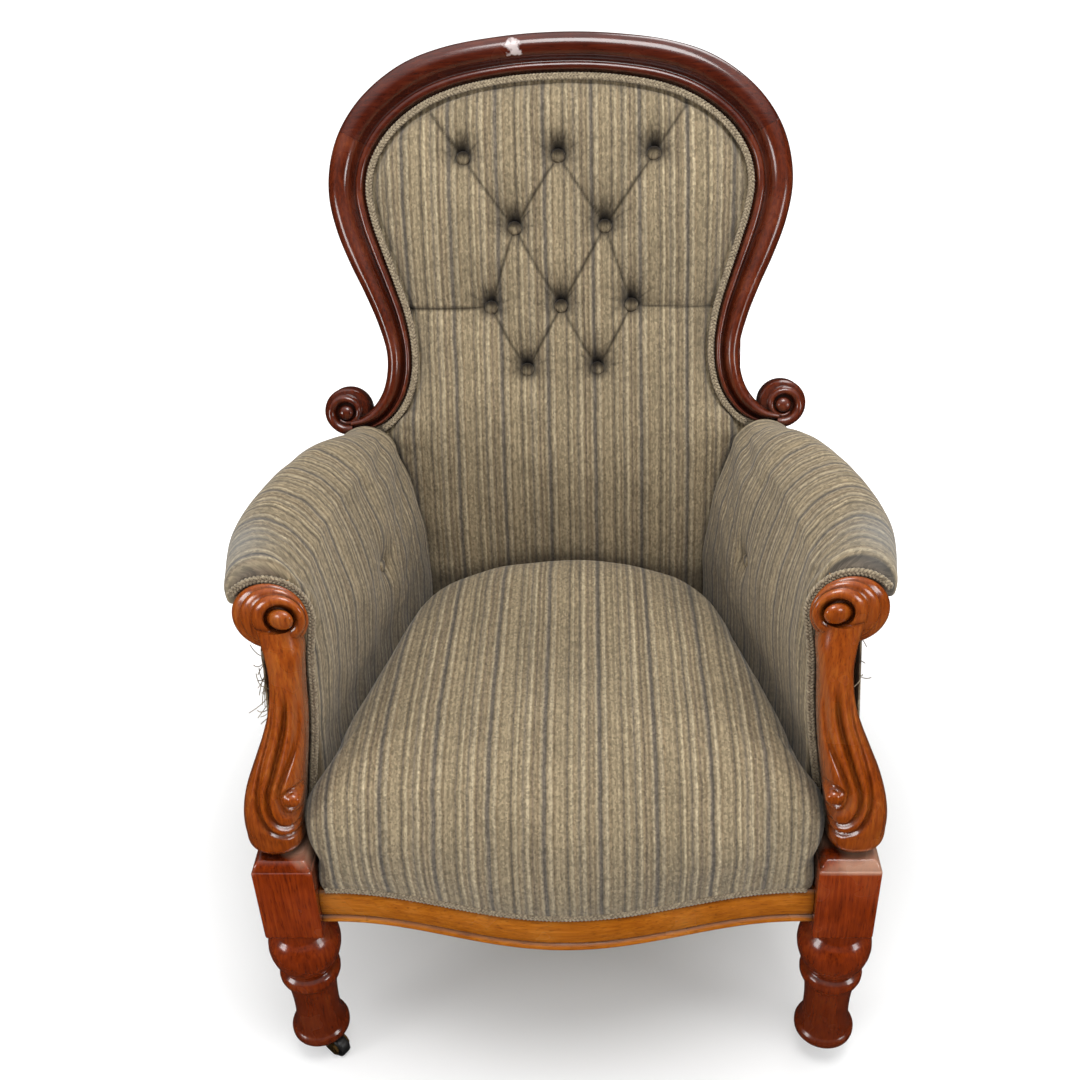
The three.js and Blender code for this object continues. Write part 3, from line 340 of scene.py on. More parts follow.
def striped_cloth(name):
    """Woollen tweed: stripes across the map's first axis, threads along its second."""
    cloth = bpy.data.materials.new(name)
    tree = new_tree(cloth)
    laid = add_node(tree, "ShaderNodeUVMap", uv_map="cloth")
    # Single warps differ, each thread swells and thins in slubs, and flecks lie a thread wide
    warps = {"Vector": laid, "Scale": (1 / (1.3 * THREAD), 1 / WARP, 1)}
    slubs = {"Vector": laid, "Scale": (1 / THREAD, 1 / SLUB, 1)}
    flecks = {"Vector": laid, "Scale": (1 / THREAD, 1 / (1.6 * THREAD), 1)}
    warp_map, slub_map, fleck_map = (
        add_node(tree, "ShaderNodeMapping", inputs) for inputs in (warps, slubs, flecks)
    )
    odd = add_node(tree, "ShaderNodeTexNoise", {"Vector": warp_map, "Scale": 1.0, "Detail": 1.0})
    slub = add_node(tree, "ShaderNodeTexNoise", {"Vector": slub_map, "Scale": 1.0, "Detail": 2.0})
    soil = add_node(tree, "ShaderNodeTexNoise", {"Vector": laid, "Scale": 1 / SOIL, "Detail": 3.0})
    fleck = add_node(tree, "ShaderNodeTexVoronoi", {"Vector": fleck_map, "Scale": 1.0})
    grains = add_node(tree, "ShaderNodeSeparateColor", {0: fleck.outputs["Color"]})
    tone = add_node(tree, "ShaderNodeMapRange", {0: slub, 1: 0.25, 2: 0.75, 3: 0.78, 4: 1.2})
    for inputs in (
        {0: grains, 3: 0.72, 4: 1.28},
        {0: soil, 1: 0.3, 2: 0.7, 3: 0.88, 4: 1.1},
        {0: odd, 1: 0.3, 2: 0.7, 3: 0.8, 4: 1.17},
    ):
        other = add_node(tree, "ShaderNodeMapRange", inputs)
        tone = add_node(tree, "ShaderNodeMath", {0: tone, 1: other}, operation="MULTIPLY")
    shaded = add_node(
        tree, "ShaderNodeMix", {0: 1.0, 6: stripes(tree, laid), 7: tone},
        data_type="RGBA", blend_type="MULTIPLY",
    )
    # Stains are marked on the arms, and shade is painted into the folds, the button pits and the creases
    for mark, code in (("stain", STAIN), ("painted_shade", SHADE_COLOUR)):
        share = add_node(tree, "ShaderNodeAttribute", attribute_name=mark).outputs["Fac"]
        parts = {0: share, 6: shaded.outputs[2], 7: linear(code)}
        shaded = add_node(tree, "ShaderNodeMix", parts, data_type="RGBA")
    height = add_node(tree, "ShaderNodeMath", {0: grains.outputs[1], 1: slub}, operation="ADD")
    relief = add_node(tree, "ShaderNodeBump", {"Height": height, "Strength": 0.55, "Distance": 0.0011})
    wool = add_node(
        tree, "ShaderNodeBsdfPrincipled",
        {
            "Base Color": shaded.outputs[2], "Roughness": 0.95, "IOR": 1.45, "Specular IOR Level": 0.2,
            "Normal": relief, "Sheen Weight": 0.15, "Sheen Roughness": 0.5,
        },
    )
    add_node(tree, "ShaderNodeOutputMaterial", {"Surface": wool})
    return cloth


tweed = striped_cloth("tweed_striped_wool")
print("stripe colours:", len(STRIPES), "repeat in mm:", STRIPE_REPEAT * 1000)

# %% [markdown]
# ## Braid, metal, web and frame wood
# Smaller finishes: a plaited wool gimp, black iron for the wheels, brown brass for forks and plates,
# coppered spring wire, jute web and the plain beech of the hidden frame. Each is darker close to its
# hollows.

# %% Small finishes
def plain_finish(name, dark, light, grain_mm, rough, metal=0.0, relief_mm=0.2, sheen=0.0):
    """A finish whose tone, gloss and relief vary over patches of one real size."""
    finish = bpy.data.materials.new(name)
    tree = new_tree(finish)
    place = add_node(tree, "ShaderNodeTexCoord").outputs["Object"]
    patch = add_node(tree, "ShaderNodeTexNoise", {"Vector": place, "Scale": 1000 / grain_mm, "Detail": 4.0})
    tone = add_node(tree, "ShaderNodeValToRGB", {0: patch})
    for stop, (position, code) in zip(tone.color_ramp.elements, ((0.3, dark), (0.7, light))):
        stop.position = position
        stop.color = linear(code)
    # Darker within 6 mm of a hollow
    shade = add_node(tree, "ShaderNodeAmbientOcclusion", {"Distance": 0.006}, samples=6).outputs["AO"]
    darker_in_hollows = add_node(tree, "ShaderNodeMapRange", {0: shade, 1: 0.3, 2: 0.8, 3: 0.7, 4: 0.0})
    colour = add_node(tree, "ShaderNodeMix", {0: darker_in_hollows, 6: tone, 7: linear(dark)}, data_type="RGBA")
    gloss = add_node(
        tree, "ShaderNodeMapRange", {0: patch, 1: 0.3, 2: 0.7, 3: rough + 0.08, 4: rough - 0.06}
    )
    relief = add_node(
        tree, "ShaderNodeBump", {"Height": patch, "Strength": 0.5, "Distance": relief_mm / 1000}
    )
    shell = add_node(
        tree, "ShaderNodeBsdfPrincipled",
        {
            "Base Color": colour.outputs[2], "Roughness": gloss, "Metallic": metal, "Normal": relief,
            "Sheen Weight": sheen,
        },
    )
    add_node(tree, "ShaderNodeOutputMaterial", {"Surface": shell})
    return finish


braid = plain_finish("wool_gimp", "#6b5d4a", "#b3a387", 3.0, 0.9, relief_mm=0.6, sheen=0.2)
iron = plain_finish("cast_iron_black", "#0b0b0b", "#232221", 6.0, 0.42, relief_mm=0.3)
brass = plain_finish("brass_browned", "#3a2814", "#7a5c30", 9.0, 0.4, metal=0.9)
wire = plain_finish("spring_wire_coppered", "#4a3a30", "#86776a", 5.0, 0.35, metal=0.9)
jute = plain_finish("jute_web", "#75603a", "#ab9363", 2.2, 0.95, relief_mm=0.8)
beech = plain_finish("beech_sawn", "#8a6438", "#b48c5c", 14.0, 0.7, relief_mm=0.4)
print("small finishes:", [m.name for m in (braid, iron, brass, wire, jute, beech)])

# %% [markdown]
# ## Measures and helpers
# Lengths below are in millimetres, counted from the front of the leg blocks as a chair maker would, and
# `to_frame` turns them into the frame's metres. `drawn_out` does what a hand does with the extrude tool:
# it starts from one filled circle and draws it out ring by ring, then sets each ring on its outline.

# %% Smooth lines
MIDDLE_Y = 323.934
FIT = 0.3
UP = (0, 0, 1)


def to_frame(points):
    """Millimetres from the front of the leg blocks to metres in the frame."""
    return (np.asarray(points, float) - (0, MIDDLE_Y, 0)) / 1000


def in_mm(points):
    """Metres in the frame to millimetres from the front of the leg blocks."""
    return points * 1000 + (0, MIDDLE_Y, 0)


def soft_step(value, low, high):
    share = np.clip((value - low) / (high - low), 0, 1)
    return share * share * (3 - 2 * share)


def bell(away, reach, power=2):
    """1 in the middle, falling off to nothing beyond the reach."""
    return np.exp(-((away / reach) ** power))


def lengths_along(line):
    """How far each point of a line lies from its start."""
    return np.concatenate([[0], np.cumsum(np.linalg.norm(np.diff(line, axis=0), axis=1))])


def through(keys, values, at):
    """A smooth line through values that are given at keys."""
    keys, values, at = (np.asarray(part, float) for part in (keys, values, at))
    slope = np.gradient(values, keys, axis=0)
    slope[0] = slope[0] / 2
    slope[-1] = slope[-1] / 2
    i = np.clip(np.searchsorted(keys, at, side="right") - 1, 0, len(keys) - 2)
    step = keys[i + 1] - keys[i]
    s = np.clip((at - keys[i]) / step, 0, 1)
    if values.ndim > 1:
        step, s = step[:, None], s[:, None]
    start = (1 + 2 * s) * (1 - s) ** 2 * values[i] + s * (1 - s) ** 2 * step * slope[i]
    return start + s * s * (3 - 2 * s) * values[i + 1] + s * s * (s - 1) * step * slope[i + 1]


def along_profile(values, t):
    return through(np.linspace(0, 1, len(values)), values, t)


# %% Modelling helpers
def only(piece):
    """Selects one piece alone and makes it active."""
    bpy.ops.object.select_all(action="DESELECT")
    piece.select_set(True)
    bpy.context.view_layer.objects.active = piece


def faced_out(piece):
    """Turns every face of the active piece outwards."""
    bpy.ops.object.mode_set(mode="EDIT")
    bpy.ops.mesh.select_all(action="SELECT")
    bpy.ops.mesh.normals_make_consistent(inside=False)
    bpy.ops.object.mode_set(mode="OBJECT")
    return piece


def drawn_out(name, rings):
    """A closed skin: a filled circle extruded from ring to ring, each ring an outline in millimetres."""
    rings = np.asarray(rings, float)
    bpy.ops.object.select_all(action="DESELECT")
    bpy.ops.mesh.primitive_circle_add(vertices=rings.shape[1], fill_type="NGON")
    piece = bpy.context.object
    piece.name = piece.data.name = name
    bpy.ops.object.mode_set(mode="EDIT")
    for _ in rings[1:]:
        bpy.ops.mesh.extrude_region_move()
    bpy.ops.object.mode_set(mode="OBJECT")
    piece.data.vertices.foreach_set("co", to_frame(rings).ravel())
    return faced_out(piece)


def turned(profile, centre, axis, across, up, count):
    """Rings of a turned shape: the profile gives each ring's radius and its place along the axis."""
    angles = np.linspace(0, 2 * math.pi, count, endpoint=False)
    spokes = np.outer(np.cos(angles), across) + np.outer(np.sin(angles), up)
    return [np.array(centre) + r * spokes + a * np.array(axis) for r, a in profile]


def level_ring(x, y, z):
    return np.column_stack([x, y, np.full(len(x), z)])


def united(body, *others):
    """Joins closed pieces into one skin."""
    for other in others:
        union = body.modifiers.new("union", "BOOLEAN")
        union.operation = "UNION"
        union.solver = "MANIFOLD"
        union.object = other
        only(body)
        bpy.ops.object.modifier_apply(modifier=union.name)
        bpy.data.objects.remove(other)
    return body


# %% Points, cloth and finish
def points_of(piece):
    flat = np.zeros(len(piece.data.vertices) * 3)
    piece.data.vertices.foreach_get("co", flat)
    return flat.reshape(-1, 3)


def set_points(piece, points):
    piece.data.vertices.foreach_set("co", np.ravel(points))
    piece.data.update()


def write_value(piece, name, values):
    """Writes one number from 0 to 1 on each point, for the cloth's stains and painted shade."""
    layer = piece.data.attributes.new(name, "FLOAT", "POINT")
    layer.data.foreach_set("value", np.clip(values, 0, 1))


def lay_cloth(piece, across, along):
    """Writes the cloth's own map, in metres, from millimetres at the points."""
    corner = np.zeros(len(piece.data.loops), int)
    piece.data.loops.foreach_get("vertex_index", corner)
    flat = np.stack([np.ravel(across)[corner], np.ravel(along)[corner]], 1) / 1000
    layer = piece.data.uv_layers.new(name="cloth")
    layer.data.foreach_set("uv", flat.ravel())


def dressed(piece, material, nodes, body=CHAIR, crease=40):
    """Finishes a piece: smooth shading, a material, the solids it stands for and the body it rides on."""
    only(piece)
    bpy.ops.object.shade_smooth_by_angle(angle=math.radians(crease))
    piece.data.materials.clear()
    piece.data.materials.append(material)
    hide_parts(*nodes)
    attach(piece, body)
    print(piece.name, "faces:", len(piece.data.polygons))
    return piece


SIDES = (("right", 1), ("left", -1))

# %% [markdown]
# ## The show frame
# The back is a hoop of mahogany in three lengths, a crest and two stiles, run with one moulding: a broad
# roll outside, a hollow, and a thin bead next to the cloth. A bevelled curve could make it, but the
# moulding narrows towards the waist and lies on a raked plane, so its section is drawn along the hoop.

# %% The raked plane and the hoop
BACK_RAKE = math.radians(20)
BACK_Y, BACK_Z, BACK_EASE = 500, 600, 0.000238
FRAME_BACK = 30


def back_y(z):
    return BACK_Y + math.tan(BACK_RAKE) * (z - BACK_Z) + BACK_EASE * np.minimum(0, z - BACK_Z) ** 2


def back_point(x, w, n):
    """A point on the back: x across, w up the slope from the scrolls, n in front of the frame's plane."""
    z = BACK_Z + w * math.cos(BACK_RAKE)
    lean = np.arctan(math.tan(BACK_RAKE) + 2 * BACK_EASE * np.minimum(0, z - BACK_Z))
    return np.stack(np.broadcast_arrays(x, back_y(z) - n * np.cos(lean), z + n * np.sin(lean)), -1)


# Right half, from the top: across, up the slope, and the moulding's width
HOOP = [
    (0, 417.4, 45), (62, 414.5, 45), (129, 403.5, 47), (174, 386.5, 49), (214, 357.5, 49),
    (238, 327, 48), (250.5, 297, 46), (254.5, 263.5, 45), (248.5, 227, 44), (236, 189.5, 42),
    (221.5, 152, 38), (208.5, 114, 35), (201, 76, 31), (202.5, 46, 30), (211, 20, 28), (226, 0, 25),
    (246, -12, 20), (265, -15, 17),
]
left_half = [(-x, w, wide) for x, w, wide in HOOP[:0:-1]]
hoop_points = np.array(left_half + HOOP, float)
knots = np.concatenate([[0], np.cumsum(np.linalg.norm(np.diff(hoop_points, axis=0), axis=1) ** 0.5)])
hoop_line = through(knots, hoop_points, np.linspace(0, knots[-1], 4000))
run = lengths_along(hoop_line)


def hoop_at(u):
    """Middle of the moulding, its width and the outward direction at shares u of the hoop's length."""
    u = np.atleast_1d(u)
    at = [np.interp(u * run[-1], run, hoop_line[:, i]) for i in range(3)]
    step = 0.0008
    ahead = [np.interp((u + step) * run[-1], run, hoop_line[:, i]) for i in range(2)]
    behind = [np.interp((u - step) * run[-1], run, hoop_line[:, i]) for i in range(2)]
    travel = np.stack([ahead[0] - behind[0], ahead[1] - behind[1]], -1)
    travel /= np.linalg.norm(travel, axis=1)[:, None]
    return at[0], at[1], at[2], -travel[:, 1], travel[:, 0]


def hoop_edge(u, t, inset=0.0):
    """A line along the hoop: t is -0.5 at its outer edge and 0.5 at its inner one."""
    x, w, wide, out_x, out_w = hoop_at(u)
    shift = -t * wide - inset
    return x + out_x * shift, w + out_w * shift


# %% The moulding's section
roll_turn, bead_turn = np.radians(np.linspace(2, 148, 18)), np.radians(np.linspace(0, 180, 10))
roll = [(-0.17 - 0.33 * math.cos(a), -4 + 19 * math.sin(a) ** 0.9) for a in roll_turn]
bead = [(0.345 - 0.105 * math.cos(a), 4 + 5 * math.sin(a)) for a in bead_turn]
hollow = [(0.15, 4.2), (0.185, 3.1), (0.215, 2.8), (0.235, 3.0)]
MOULDING = np.array(
    [(-0.44, -FRAME_BACK), (-0.49, -FRAME_BACK + 3), (-0.5, -12)] + roll + hollow + bead
    + [(0.465, 1.5), (0.5, 0.5), (0.5, -FRAME_BACK)]
)
JOINT, JOINT_GAP, STILE_END = 0.705, 0.00007, 0.9985


def moulding_rings(shares):
    rings = []
    for u in shares:
        x, w = hoop_edge(np.full(len(MOULDING), u), MOULDING[:, 0])
        rings.append(back_point(x, w, MOULDING[:, 1]))
    return rings


crest_shares = np.linspace(1 - JOINT + JOINT_GAP, JOINT - JOINT_GAP, 130)
crest = drawn_out("crest_moulding", moulding_rings(crest_shares))
dressed(crest, crest_wood, ["crest_rail"], crease=50)

# %% [markdown]
# Each stile ends in a scroll: the moulding runs out under it and winds round a raised eye. The scroll is
# a turned disc with a rolled band wound on its face, and all is united with the stile into one skin.

# %% Stiles with scrolls
SCROLL_X, SCROLL_W = 269, 2
SCROLL_DISC = [
    (4, -FRAME_BACK), (27, -FRAME_BACK), (28.6, -28), (29, -24), (29, -3), (28.3, 1), (26, 4), (16, 5),
    (4, 5),
]
SCROLL_EYE = [(2, -4), (9.6, -4), (9.6, 8), (9.0, 11), (7.4, 13.6), (5, 15), (2.5, 15.6), (0.8, 15.7)]
BAND_START, BAND_TURN, BAND_FOOT = -0.62 * math.pi, 2.35 * math.pi, 2
# The band's middle radius, half width and crown where it starts and where it ends
BAND_FIRST, BAND_LAST = np.array([21.5, 8.0, 13]), np.array([12, 3.4, 9.5])


def round_rings(profile, count, centre_x, centre_w, side):
    """Rings of a turned shape that faces out of the back's plane."""
    angles = np.linspace(0, 2 * math.pi, count, endpoint=False)
    rings = []
    for r, n in profile:
        x, w = centre_x + r * np.cos(angles), centre_w + r * np.sin(angles)
        rings.append(back_point(side * x, w, np.full(count, n)))
    return rings


def band_rings(side):
    """The rolled band that winds inwards on the scroll's face, and thins as it goes."""
    rings = []
    for s in np.linspace(0, 1, 90):
        angle = BAND_START + s * BAND_TURN
        middle, half, crown = BAND_FIRST + (BAND_LAST - BAND_FIRST) * s
        section = []
        for a in np.radians(np.linspace(0, 180, 12)):
            section.append((middle - half * math.cos(a), BAND_FOOT + crown * math.sin(a)))
        section += [(middle + half, -BAND_FOOT), (middle - half, -BAND_FOOT)]
        r, n = np.array(section).T
        x, w = SCROLL_X + r * math.cos(angle), SCROLL_W + r * math.sin(angle)
        rings.append(back_point(side * x, w, n))
    return rings


stile_rings = moulding_rings(np.linspace(JOINT + JOINT_GAP, STILE_END, 110))
for word, side in SIDES:
    stile = drawn_out("stile_moulding_" + word, [ring * (side, 1, 1) for ring in stile_rings])
    disc = drawn_out("disc", round_rings(SCROLL_DISC, 56, SCROLL_X, SCROLL_W, side))
    eye = drawn_out("eye", round_rings(SCROLL_EYE, 32, SCROLL_X, SCROLL_W, side))
    band = drawn_out("band", band_rings(side))
    united(stile, disc, band, eye)
    dressed(stile, stile_wood, ["back_stile_" + word])

# %% [markdown]
# ## Carved arm supports
# Each arm stands on an S-scroll carved from one piece. It swells on a rounded foot, narrows, and leans
# back into a conical volute whose eye looks inwards. Three grooves run down its face and hook inwards
# under a small second eye. Sculpting would do it by eye; here the grooves are lines, and the face sinks
# near them.

# %% The carver's lines
BLOCK = 64
SUPPORT_BOTTOM = 334.346
ARM_HIGH_FRONT = 650
SUPPORT_LEAN = 32
# Height above the block, outer side, inner side and front
SUPPORT = np.array([
    (0, 314, 284, 20), (4, 321, 277, 13), (11, 326, 272, 7), (34, 329, 269, 2), (54, 328, 266, 0),
    (82, 322, 262, 2), (110, 311, 258, 8), (137, 300, 255, 16), (164, 291, 253, 24),
    (190, 286, 252, 32), (215, 285, 250, 39), (235, 287, 248, 43), (262, 292, 252, 50),
], float)
# Across and height
GROOVES = [
    [
        (256, 545), (258, 505), (263, 475), (277, 443), (283, 424.5), (281, 409), (275, 400), (266, 396),
        (256, 398),
    ],
    [(266, 552), (271, 500), (285, 452), (294, 424.5), (294, 404), (286, 388), (273, 381), (256, 386)],
    [(277, 556), (283, 500), (297, 455), (304.5, 424.5), (304, 401), (294, 378), (276, 368), (256, 372)],
]
GROOVE_DEPTH, GROOVE_HALF = 6.0, 3.2
TROUGH_DEPTH, TROUGH_HALF = 3.5, 9
SMALL_EYE_X, SMALL_EYE_Z = 269, 419
MOAT_RADIUS, MOAT_DEPTH = 11.5, 5


def support_back(z):
    return BLOCK + SUPPORT_LEAN * np.maximum(0, (z - SUPPORT_BOTTOM) / (ARM_HIGH_FRONT - SUPPORT_BOTTOM))


def line_distance(x, z, line):
    """Distance from points to a bent line, and how far along it they are, from 0 to 1."""
    line = np.array(line, float)
    lengths = np.linalg.norm(np.diff(line, axis=0), axis=1)
    starts = np.concatenate([[0], np.cumsum(lengths)])
    best, share = np.full(np.shape(x), 1e9), np.zeros(np.shape(x))
    for a, b, begin, length in zip(line[:-1], line[1:], starts, lengths):
        s = np.clip(((x - a[0]) * (b[0] - a[0]) + (z - a[1]) * (b[1] - a[1])) / length**2, 0, 1)
        away = np.hypot(x - a[0] - s * (b[0] - a[0]), z - a[1] - s * (b[1] - a[1]))
        nearer = away < best
        best = np.where(nearer, away, best)
        share = np.where(nearer, (begin + s * length) / starts[-1], share)
    return best, share


def fine_line(points, count=60):
    points = np.array(points, float)
    return through(np.arange(len(points)), points, np.linspace(0, len(points) - 1, count))


grooves = [fine_line(line) for line in GROOVES]


def carved(x, z):
    """How far the carver has sunk the face: three grooves, a trough along the middle one, and a moat."""
    sunk = np.zeros_like(x)
    for line in grooves:
        away, share = line_distance(x, z, line)
        sunk = np.maximum(sunk, GROOVE_DEPTH * soft_step(share, 0.0, 0.25) * bell(away, GROOVE_HALF))
    away, share = line_distance(x, z, grooves[1])
    faded = soft_step(share, 0.02, 0.25) * soft_step(share, 0.85, 0.5)
    sunk = sunk + TROUGH_DEPTH * faded * bell(away, TROUGH_HALF)
    from_eye = np.hypot(x - SMALL_EYE_X, z - SMALL_EYE_Z)
    return np.maximum(sunk, MOAT_DEPTH * bell(from_eye - MOAT_RADIUS, GROOVE_HALF))


# %% The S-shaped stem
stem_rises = np.concatenate([np.linspace(0, 11, 10), np.linspace(12.5, 262, 168)])
# The carved face takes more points than the plain back
stem_angles = np.concatenate([
    np.linspace(0, math.pi, 34, endpoint=False), np.linspace(math.pi, 2 * math.pi, 112, endpoint=False),
])


def fuller(wave, power):
    """A sine or cosine swollen towards its ends, which makes an ellipse squarer."""
    return np.sign(wave) * np.abs(wave) ** power


def stem_rings(side):
    across, deep = np.cos(stem_angles), np.sin(stem_angles)
    on_face = deep < 0
    facing = np.clip(-deep * 2, 0, 1)
    rings = []
    for rise, sizes in zip(stem_rises, through(SUPPORT[:, 0], SUPPORT[:, 1:], stem_rises)):
        outer, inner, front = sizes
        z = SUPPORT_BOTTOM + FIT + rise
        rear = support_back(z)
        x = (outer + inner) / 2 + (outer - inner) / 2 * fuller(across, np.where(on_face, 0.86, 0.5))
        y = (front + rear) / 2 + (rear - front) / 2 * fuller(deep, np.where(on_face, 0.8, 0.6))
        rings.append(level_ring(side * x, y + carved(x, z) * facing, z))
    return rings


# %% Volute and eyes
VOLUTE_X, VOLUTE_Z = 286, 590
EYE_INSET, EYE_RISE, EYE_REACH = 29 / 50, 25 / 50, 0.9
# How far forward, and the radius there
VOLUTE = [
    (0, 30), (1.2, 33.5), (3, 35.6), (6, 36.8), (9, 37), (12, 36.2), (14, 34), (15.4, 30.6),
    (16.2, 29.8), (17, 30.8), (18.6, 32.6), (20.5, 33.3), (23, 32.9), (25.2, 31.2), (26.8, 28.2),
    (27.8, 25.2), (28.6, 24.6), (29.6, 25.4), (31.6, 26.4), (34, 26), (36.4, 24.4), (38.2, 22),
    (39.2, 19.4), (38.8, 17), (37, 15.2), (34.5, 14), (33, 13), (33.4, 12), (36, 11.6), (40, 11.5),
    (44, 10.8), (47, 9), (49.2, 6.4), (50.4, 3.4), (50.7, 1),
]
SMALL_EYE = [(1, 24), (8.2, 24), (8.2, 6), (7.8, 3.6), (6.6, 1.6), (4.6, 0.2), (2.4, -0.5), (0.8, -0.7)]
SMALL_EYE_Y = 4.5


def volute_rings(side):
    angles = np.linspace(0, 2 * math.pi, 72, endpoint=False)
    rings = []
    for forward, r in VOLUTE:
        x = VOLUTE_X - EYE_INSET * forward + r * np.cos(angles)
        z = VOLUTE_Z + EYE_RISE * forward + r * np.sin(angles)
        rings.append(np.stack([side * x, support_back(z) - EYE_REACH * forward, z], -1))
    return rings


for word, side in SIDES:
    support = drawn_out("support_scroll_" + word, stem_rings(side))
    volute = drawn_out("volute", volute_rings(side))
    eye_middle = (side * SMALL_EYE_X, SMALL_EYE_Y, SMALL_EYE_Z)
    small_eye = drawn_out("small_eye", turned(SMALL_EYE, eye_middle, (0, 1, 0), (side, 0, 0), UP, 28))
    united(support, volute, small_eye)
    dressed(support, honey_wood, ["arm_support_" + word], crease=55)

# %% [markdown]
# ## Front legs
# A turner leaves a square block for the rails and turns the rest: a bulb, a collar, a slim neck and a
# flared foot whose rim stands over the castor. The profile is drawn out in rings, as the turning itself
# would be spun, and the block is united with it. Its top is rubbed pale by a century of cleaning.

# %% Turned legs
LEG_X, LEG_Y, LEG_BOTTOM = 294, 32, 32.346
BLOCK_BOTTOM, BLOCK_CORNER = 217.346, 2.2
# Radius, and height above the leg's end
TURNED = [
    (4, 0), (28, 0), (31.4, 0.8), (33, 2.6), (33.4, 5), (33.4, 9), (32.6, 11.4), (30.6, 13), (29.4, 15),
    (28.6, 18), (27.2, 24), (26.2, 31), (25.6, 38), (25.4, 46), (25.6, 58), (26.2, 70), (27.2, 80),
    (28.3, 88), (28.6, 91), (30.5, 92), (31.2, 94.5), (33, 96.5), (34.2, 100), (34.5, 104), (34, 108),
    (32.2, 111), (29.6, 113), (28.4, 114.5), (28.2, 117), (29.5, 119), (32, 121.5), (34.8, 126),
    (37.6, 133), (39.6, 141), (40.4, 149), (39.8, 157), (37.6, 164.5), (34, 170.5), (30.6, 174),
    (29, 177), (29, 188), (4, 188),
]
# Height above the block's end, and half its width
SQUARE = [
    (0, 27), (1.5, 29.2), (5, 31.6), (8, 32), (60, 32), (103.5, 32), (104.6, 31.4), (105.2, 30.4),
    (107, 30.2), (109.5, 29.6), (112, 28.4), (114.2, 26.8), (116, 25.5), (116.8, 24),
]


def square_outline(half, corner, per_side=9):
    """A square with rounded corners, as points round it."""
    points = []
    for quarter in range(4):
        turn = quarter * math.pi / 2
        for a in np.linspace(0, math.pi / 2, per_side):
            x = half - corner + corner * math.cos(a)
            y = half - corner + corner * math.sin(a)
            across = x * math.cos(turn) - y * math.sin(turn)
            points.append((across, x * math.sin(turn) + y * math.cos(turn)))
    return np.array(points)


def leg_piece(word, side):
    end = (side * LEG_X, LEG_Y, LEG_BOTTOM)
    leg = drawn_out("leg_turned_" + word, turned(TURNED, end, UP, (side, 0, 0), (0, 1, 0), 64))
    rings = []
    for rise, half in SQUARE:
        x, y = square_outline(half, BLOCK_CORNER).T
        rings.append(level_ring(side * (LEG_X + x), LEG_Y + y, BLOCK_BOTTOM + rise))
    return united(leg, drawn_out("block", rings))


for word, side in SIDES:
    dressed(leg_piece(word, side), leg_wood, ["front_leg_" + word])

# %% [markdown]
# ## Front rail and rear legs
# The serpentine front rail is golden where polish and sun met, with a bead run along its lower edge. The
# rear legs are plain: square in section, swept back below the seat, and carried up as posts for the back.

# %% Serpentine rail
RAIL_BOTTOM, RAIL_HEIGHT, RAIL_THICK, RAIL_HALF = 235.346, 46, 28, 261.7
RAIL_BACK, RAIL_SWELL, RAIL_WAVE = 10, 19, 250


def front_rail_y(x):
    return RAIL_BACK - RAIL_SWELL * (1 + np.cos(math.pi * np.minimum(np.abs(x), RAIL_WAVE) / RAIL_WAVE))


# Behind the rail's line, and height above its lower edge
RAIL_SECTION = np.array([
    (RAIL_THICK, 0), (5, 0), (2.6, 0.4), (0.4, 1.8), (-1.1, 3.6), (-1.5, 5.2), (-1.0, 7), (0.4, 8.6),
    (2.4, 9.6), (3.2, 10.2), (2.6, 11), (1.2, 12.2), (0.2, 15), (-0.6, 19), (-1.0, 24), (-1.1, 29),
    (-0.8, 34), (0, 38), (1.2, 41.4), (2.8, 44), (5, RAIL_HEIGHT), (RAIL_THICK, RAIL_HEIGHT),
])
behind, above = RAIL_SECTION.T
rail = drawn_out("serpentine_rail", [
    np.column_stack([np.full(len(behind), x), front_rail_y(x) + behind, RAIL_BOTTOM + above])
    for x in np.linspace(-RAIL_HALF, RAIL_HALF, 120)
])
dressed(rail, rail_wood, ["front_rail"])

# %% Rear legs
POST_X, POST_WIDTH, POST_DEPTH, RAIL_TOP = 225, 38, 29, RAIL_BOTTOM + RAIL_HEIGHT
POST_TOP, POST_INWARDS, POST_SLIMMER = BACK_Z + 90, 19, 4
FOOT_OUTWARDS, FOOT_SLIMMER, FOOT_SWEEP, FOOT_DEPTH = 7, 3, 122, 34
ROUNDED_SQUARE = square_outline(1, 0.2)


def post_front(z):
    return back_y(z) + (FRAME_BACK + FIT) / math.cos(BACK_RAKE)


def rear_leg_ring(z, side):
    drop = max(0, RAIL_BOTTOM - z) / (RAIL_BOTTOM - LEG_BOTTOM)
    low = soft_step(-z, -RAIL_BOTTOM, -LEG_BOTTOM)
    high = soft_step(z, RAIL_TOP, BACK_Z)
    x = POST_X - POST_INWARDS * high + FOOT_OUTWARDS * low
    half = POST_WIDTH / 2 - POST_SLIMMER * high - FOOT_SLIMMER * soft_step(-z, -RAIL_BOTTOM, 0)
    front = post_front(z) if z > RAIL_BOTTOM else post_front(RAIL_BOTTOM) + FOOT_SWEEP * drop**1.5
    deep = POST_DEPTH + (FOOT_DEPTH - POST_DEPTH) * math.sin(math.pi / 2 * drop)
    across, depth = ROUNDED_SQUARE.T
    return level_ring(side * (x + half * across), front + deep / 2 + deep / 2 * depth, z)


swept, upright = np.linspace(LEG_BOTTOM, RAIL_BOTTOM, 28), np.linspace(RAIL_BOTTOM + 12, POST_TOP, 26)
for word, side in SIDES:
    rings = [rear_leg_ring(z, side) for z in (*swept, *upright)]
    rear = drawn_out("leg_swept_" + word, rings)
    dressed(rear, leg_wood, ["rear_leg_" + word], crease=60)

